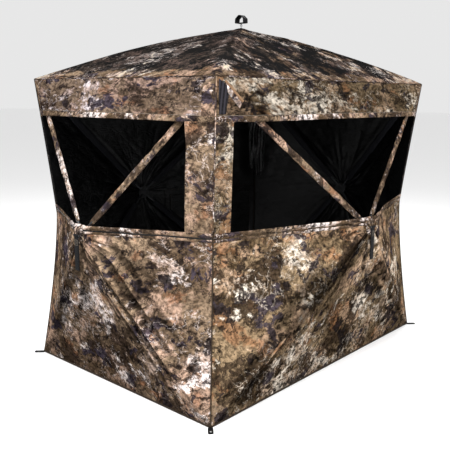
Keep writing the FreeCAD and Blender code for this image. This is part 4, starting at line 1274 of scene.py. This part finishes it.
# --- stake tabs
TAB_OUT, TAB_BACK, TAB_FORE, TAB_HALF, EYELET = 0.032, 0.036, 0.0195, 0.0125, 0.0076
for k, (sx, sy) in enumerate(CORNER_SIGNS):
    away = np.array([sx, sy, 0]) / math.sqrt(2)
    side = np.cross(UP, away)
    centre = np.array([sx * FOOT[0], sy * FOOT[1], 0.0018]) + away * TAB_OUT
    turn = circle(96)
    c, n = np.cos(turn), np.sin(turn)
    square = 1 / np.maximum(np.abs(c) ** 6 + np.abs(n) ** 6, 1e-6) ** (1 / 6)
    outer = stack(c * square * np.where(c > 0, TAB_FORE, TAB_BACK), n * square * TAB_HALF)
    s = np.linspace(0, 1, 8)[:, None, None]
    flat = stack(c, n) * EYELET * (1 - s) + outer * s
    p = centre + flat[..., :1] * away + flat[..., 1:] * side
    coords = stack(flat[..., 0], flat[..., 1], 0.0)
    faces = grid_faces(*p.shape[:2], wrap_cols=True, flip=True)
    tab = make(f"stake_tab_{k}", p, faces, [BLACK_TAPE], coords=coords)
    thicken(tab, 0.0018, offset=0.0)
    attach(tab, "shell")
    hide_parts("stake_tabs")

# --- gathered cloth, far corner
GATHER_TOP, GATHER_LONG, GATHER_AT = 1.44, 0.54, np.array([0.775, 0.505, 0])
across_way, toward_way = np.array([0.62, -0.78, 0]), np.array([-0.78, -0.62, 0])
a = np.linspace(-1, 1, 190)[None]
z = np.linspace(GATHER_TOP, GATHER_TOP - GATHER_LONG, 120)[:, None]
drop = (GATHER_TOP - z) / GATHER_LONG
turned = a * 1.9 + 0.35 * layered(0.0, z * 6, 0, 411, 2)
depth = layered(turned * 1.7, z * 2.6, 0.0, 401, 2)
depth = depth + 0.35 * np.abs(noise(turned * 4.5, z * 4, 0.0, 403))
billow = 0.009 * noise(turned * 1.1, z * 9, 0.0, 404)
spread = 0.026 + 0.032 * smooth(0.0, 0.35, drop) + 0.006 * noise(0.0, z * 8, 0.0, 405)
pleat = 0.024 * depth * (0.35 + 0.65 * smooth(0.0, 0.25, drop)) + billow - 0.012 * a**2
low_edge = 0.030 * noise(a * 2.2, 0.0, 0.0, 406) * smooth(0.7, 1.0, drop)
p = GATHER_AT + across_way * (a * spread)[..., None] + toward_way * pleat[..., None]
p = p + UP * (z + low_edge)[..., None]
coords = stack(a * 0.12, z, 0.9)
gathered = make("gathered_lining", p, grid_faces(*p.shape[:2]), [GLOSSY], coords=coords)
thicken(gathered, 0.0010)
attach(gathered, "shell")

# --- finishes of the CAD's own pieces
FINISH = {
    "hub_pins": STEEL, "hub": NYLON, "eyelet": STEEL, "grommets": BLACK_METAL,
    "slider": BLACK_METAL, "pole": ROD,
}
for node_name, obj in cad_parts.items():
    for key, material in FINISH.items():
        if key in node_name:
            for item in obj.material_slots:
                item.material = material
            break

# --- each sheet's pieces and its frame's node names, gathered and left unused


def frame_nodes(name, corners=CORNERS):
    return [f"{name}_hub", *(f"{name}_pole_{corner}" for corner in corners)]


for name, span in (("front", 1.90), ("left", 1.34)):
    low, band, post, *hems = sheets[name]
    own = [t for t in trims if t.name.startswith(name)]
    feet = [t for t in own if "boot" in t.name or "foot_hem" in t.name]
    tops = [*(t for t in own if t not in feet), *(h for h in hems if "sill" not in h.name)]
    sills = [h for h in hems if "sill" in h.name]
    frame_nodes(name, CORNERS[2:])
    frame_nodes(name, CORNERS[:2])
for name, piece, span, share in (("right", right, 1.36, 0.94), ("rear", rear, 1.92, 0.79)):
    frame_nodes(name)
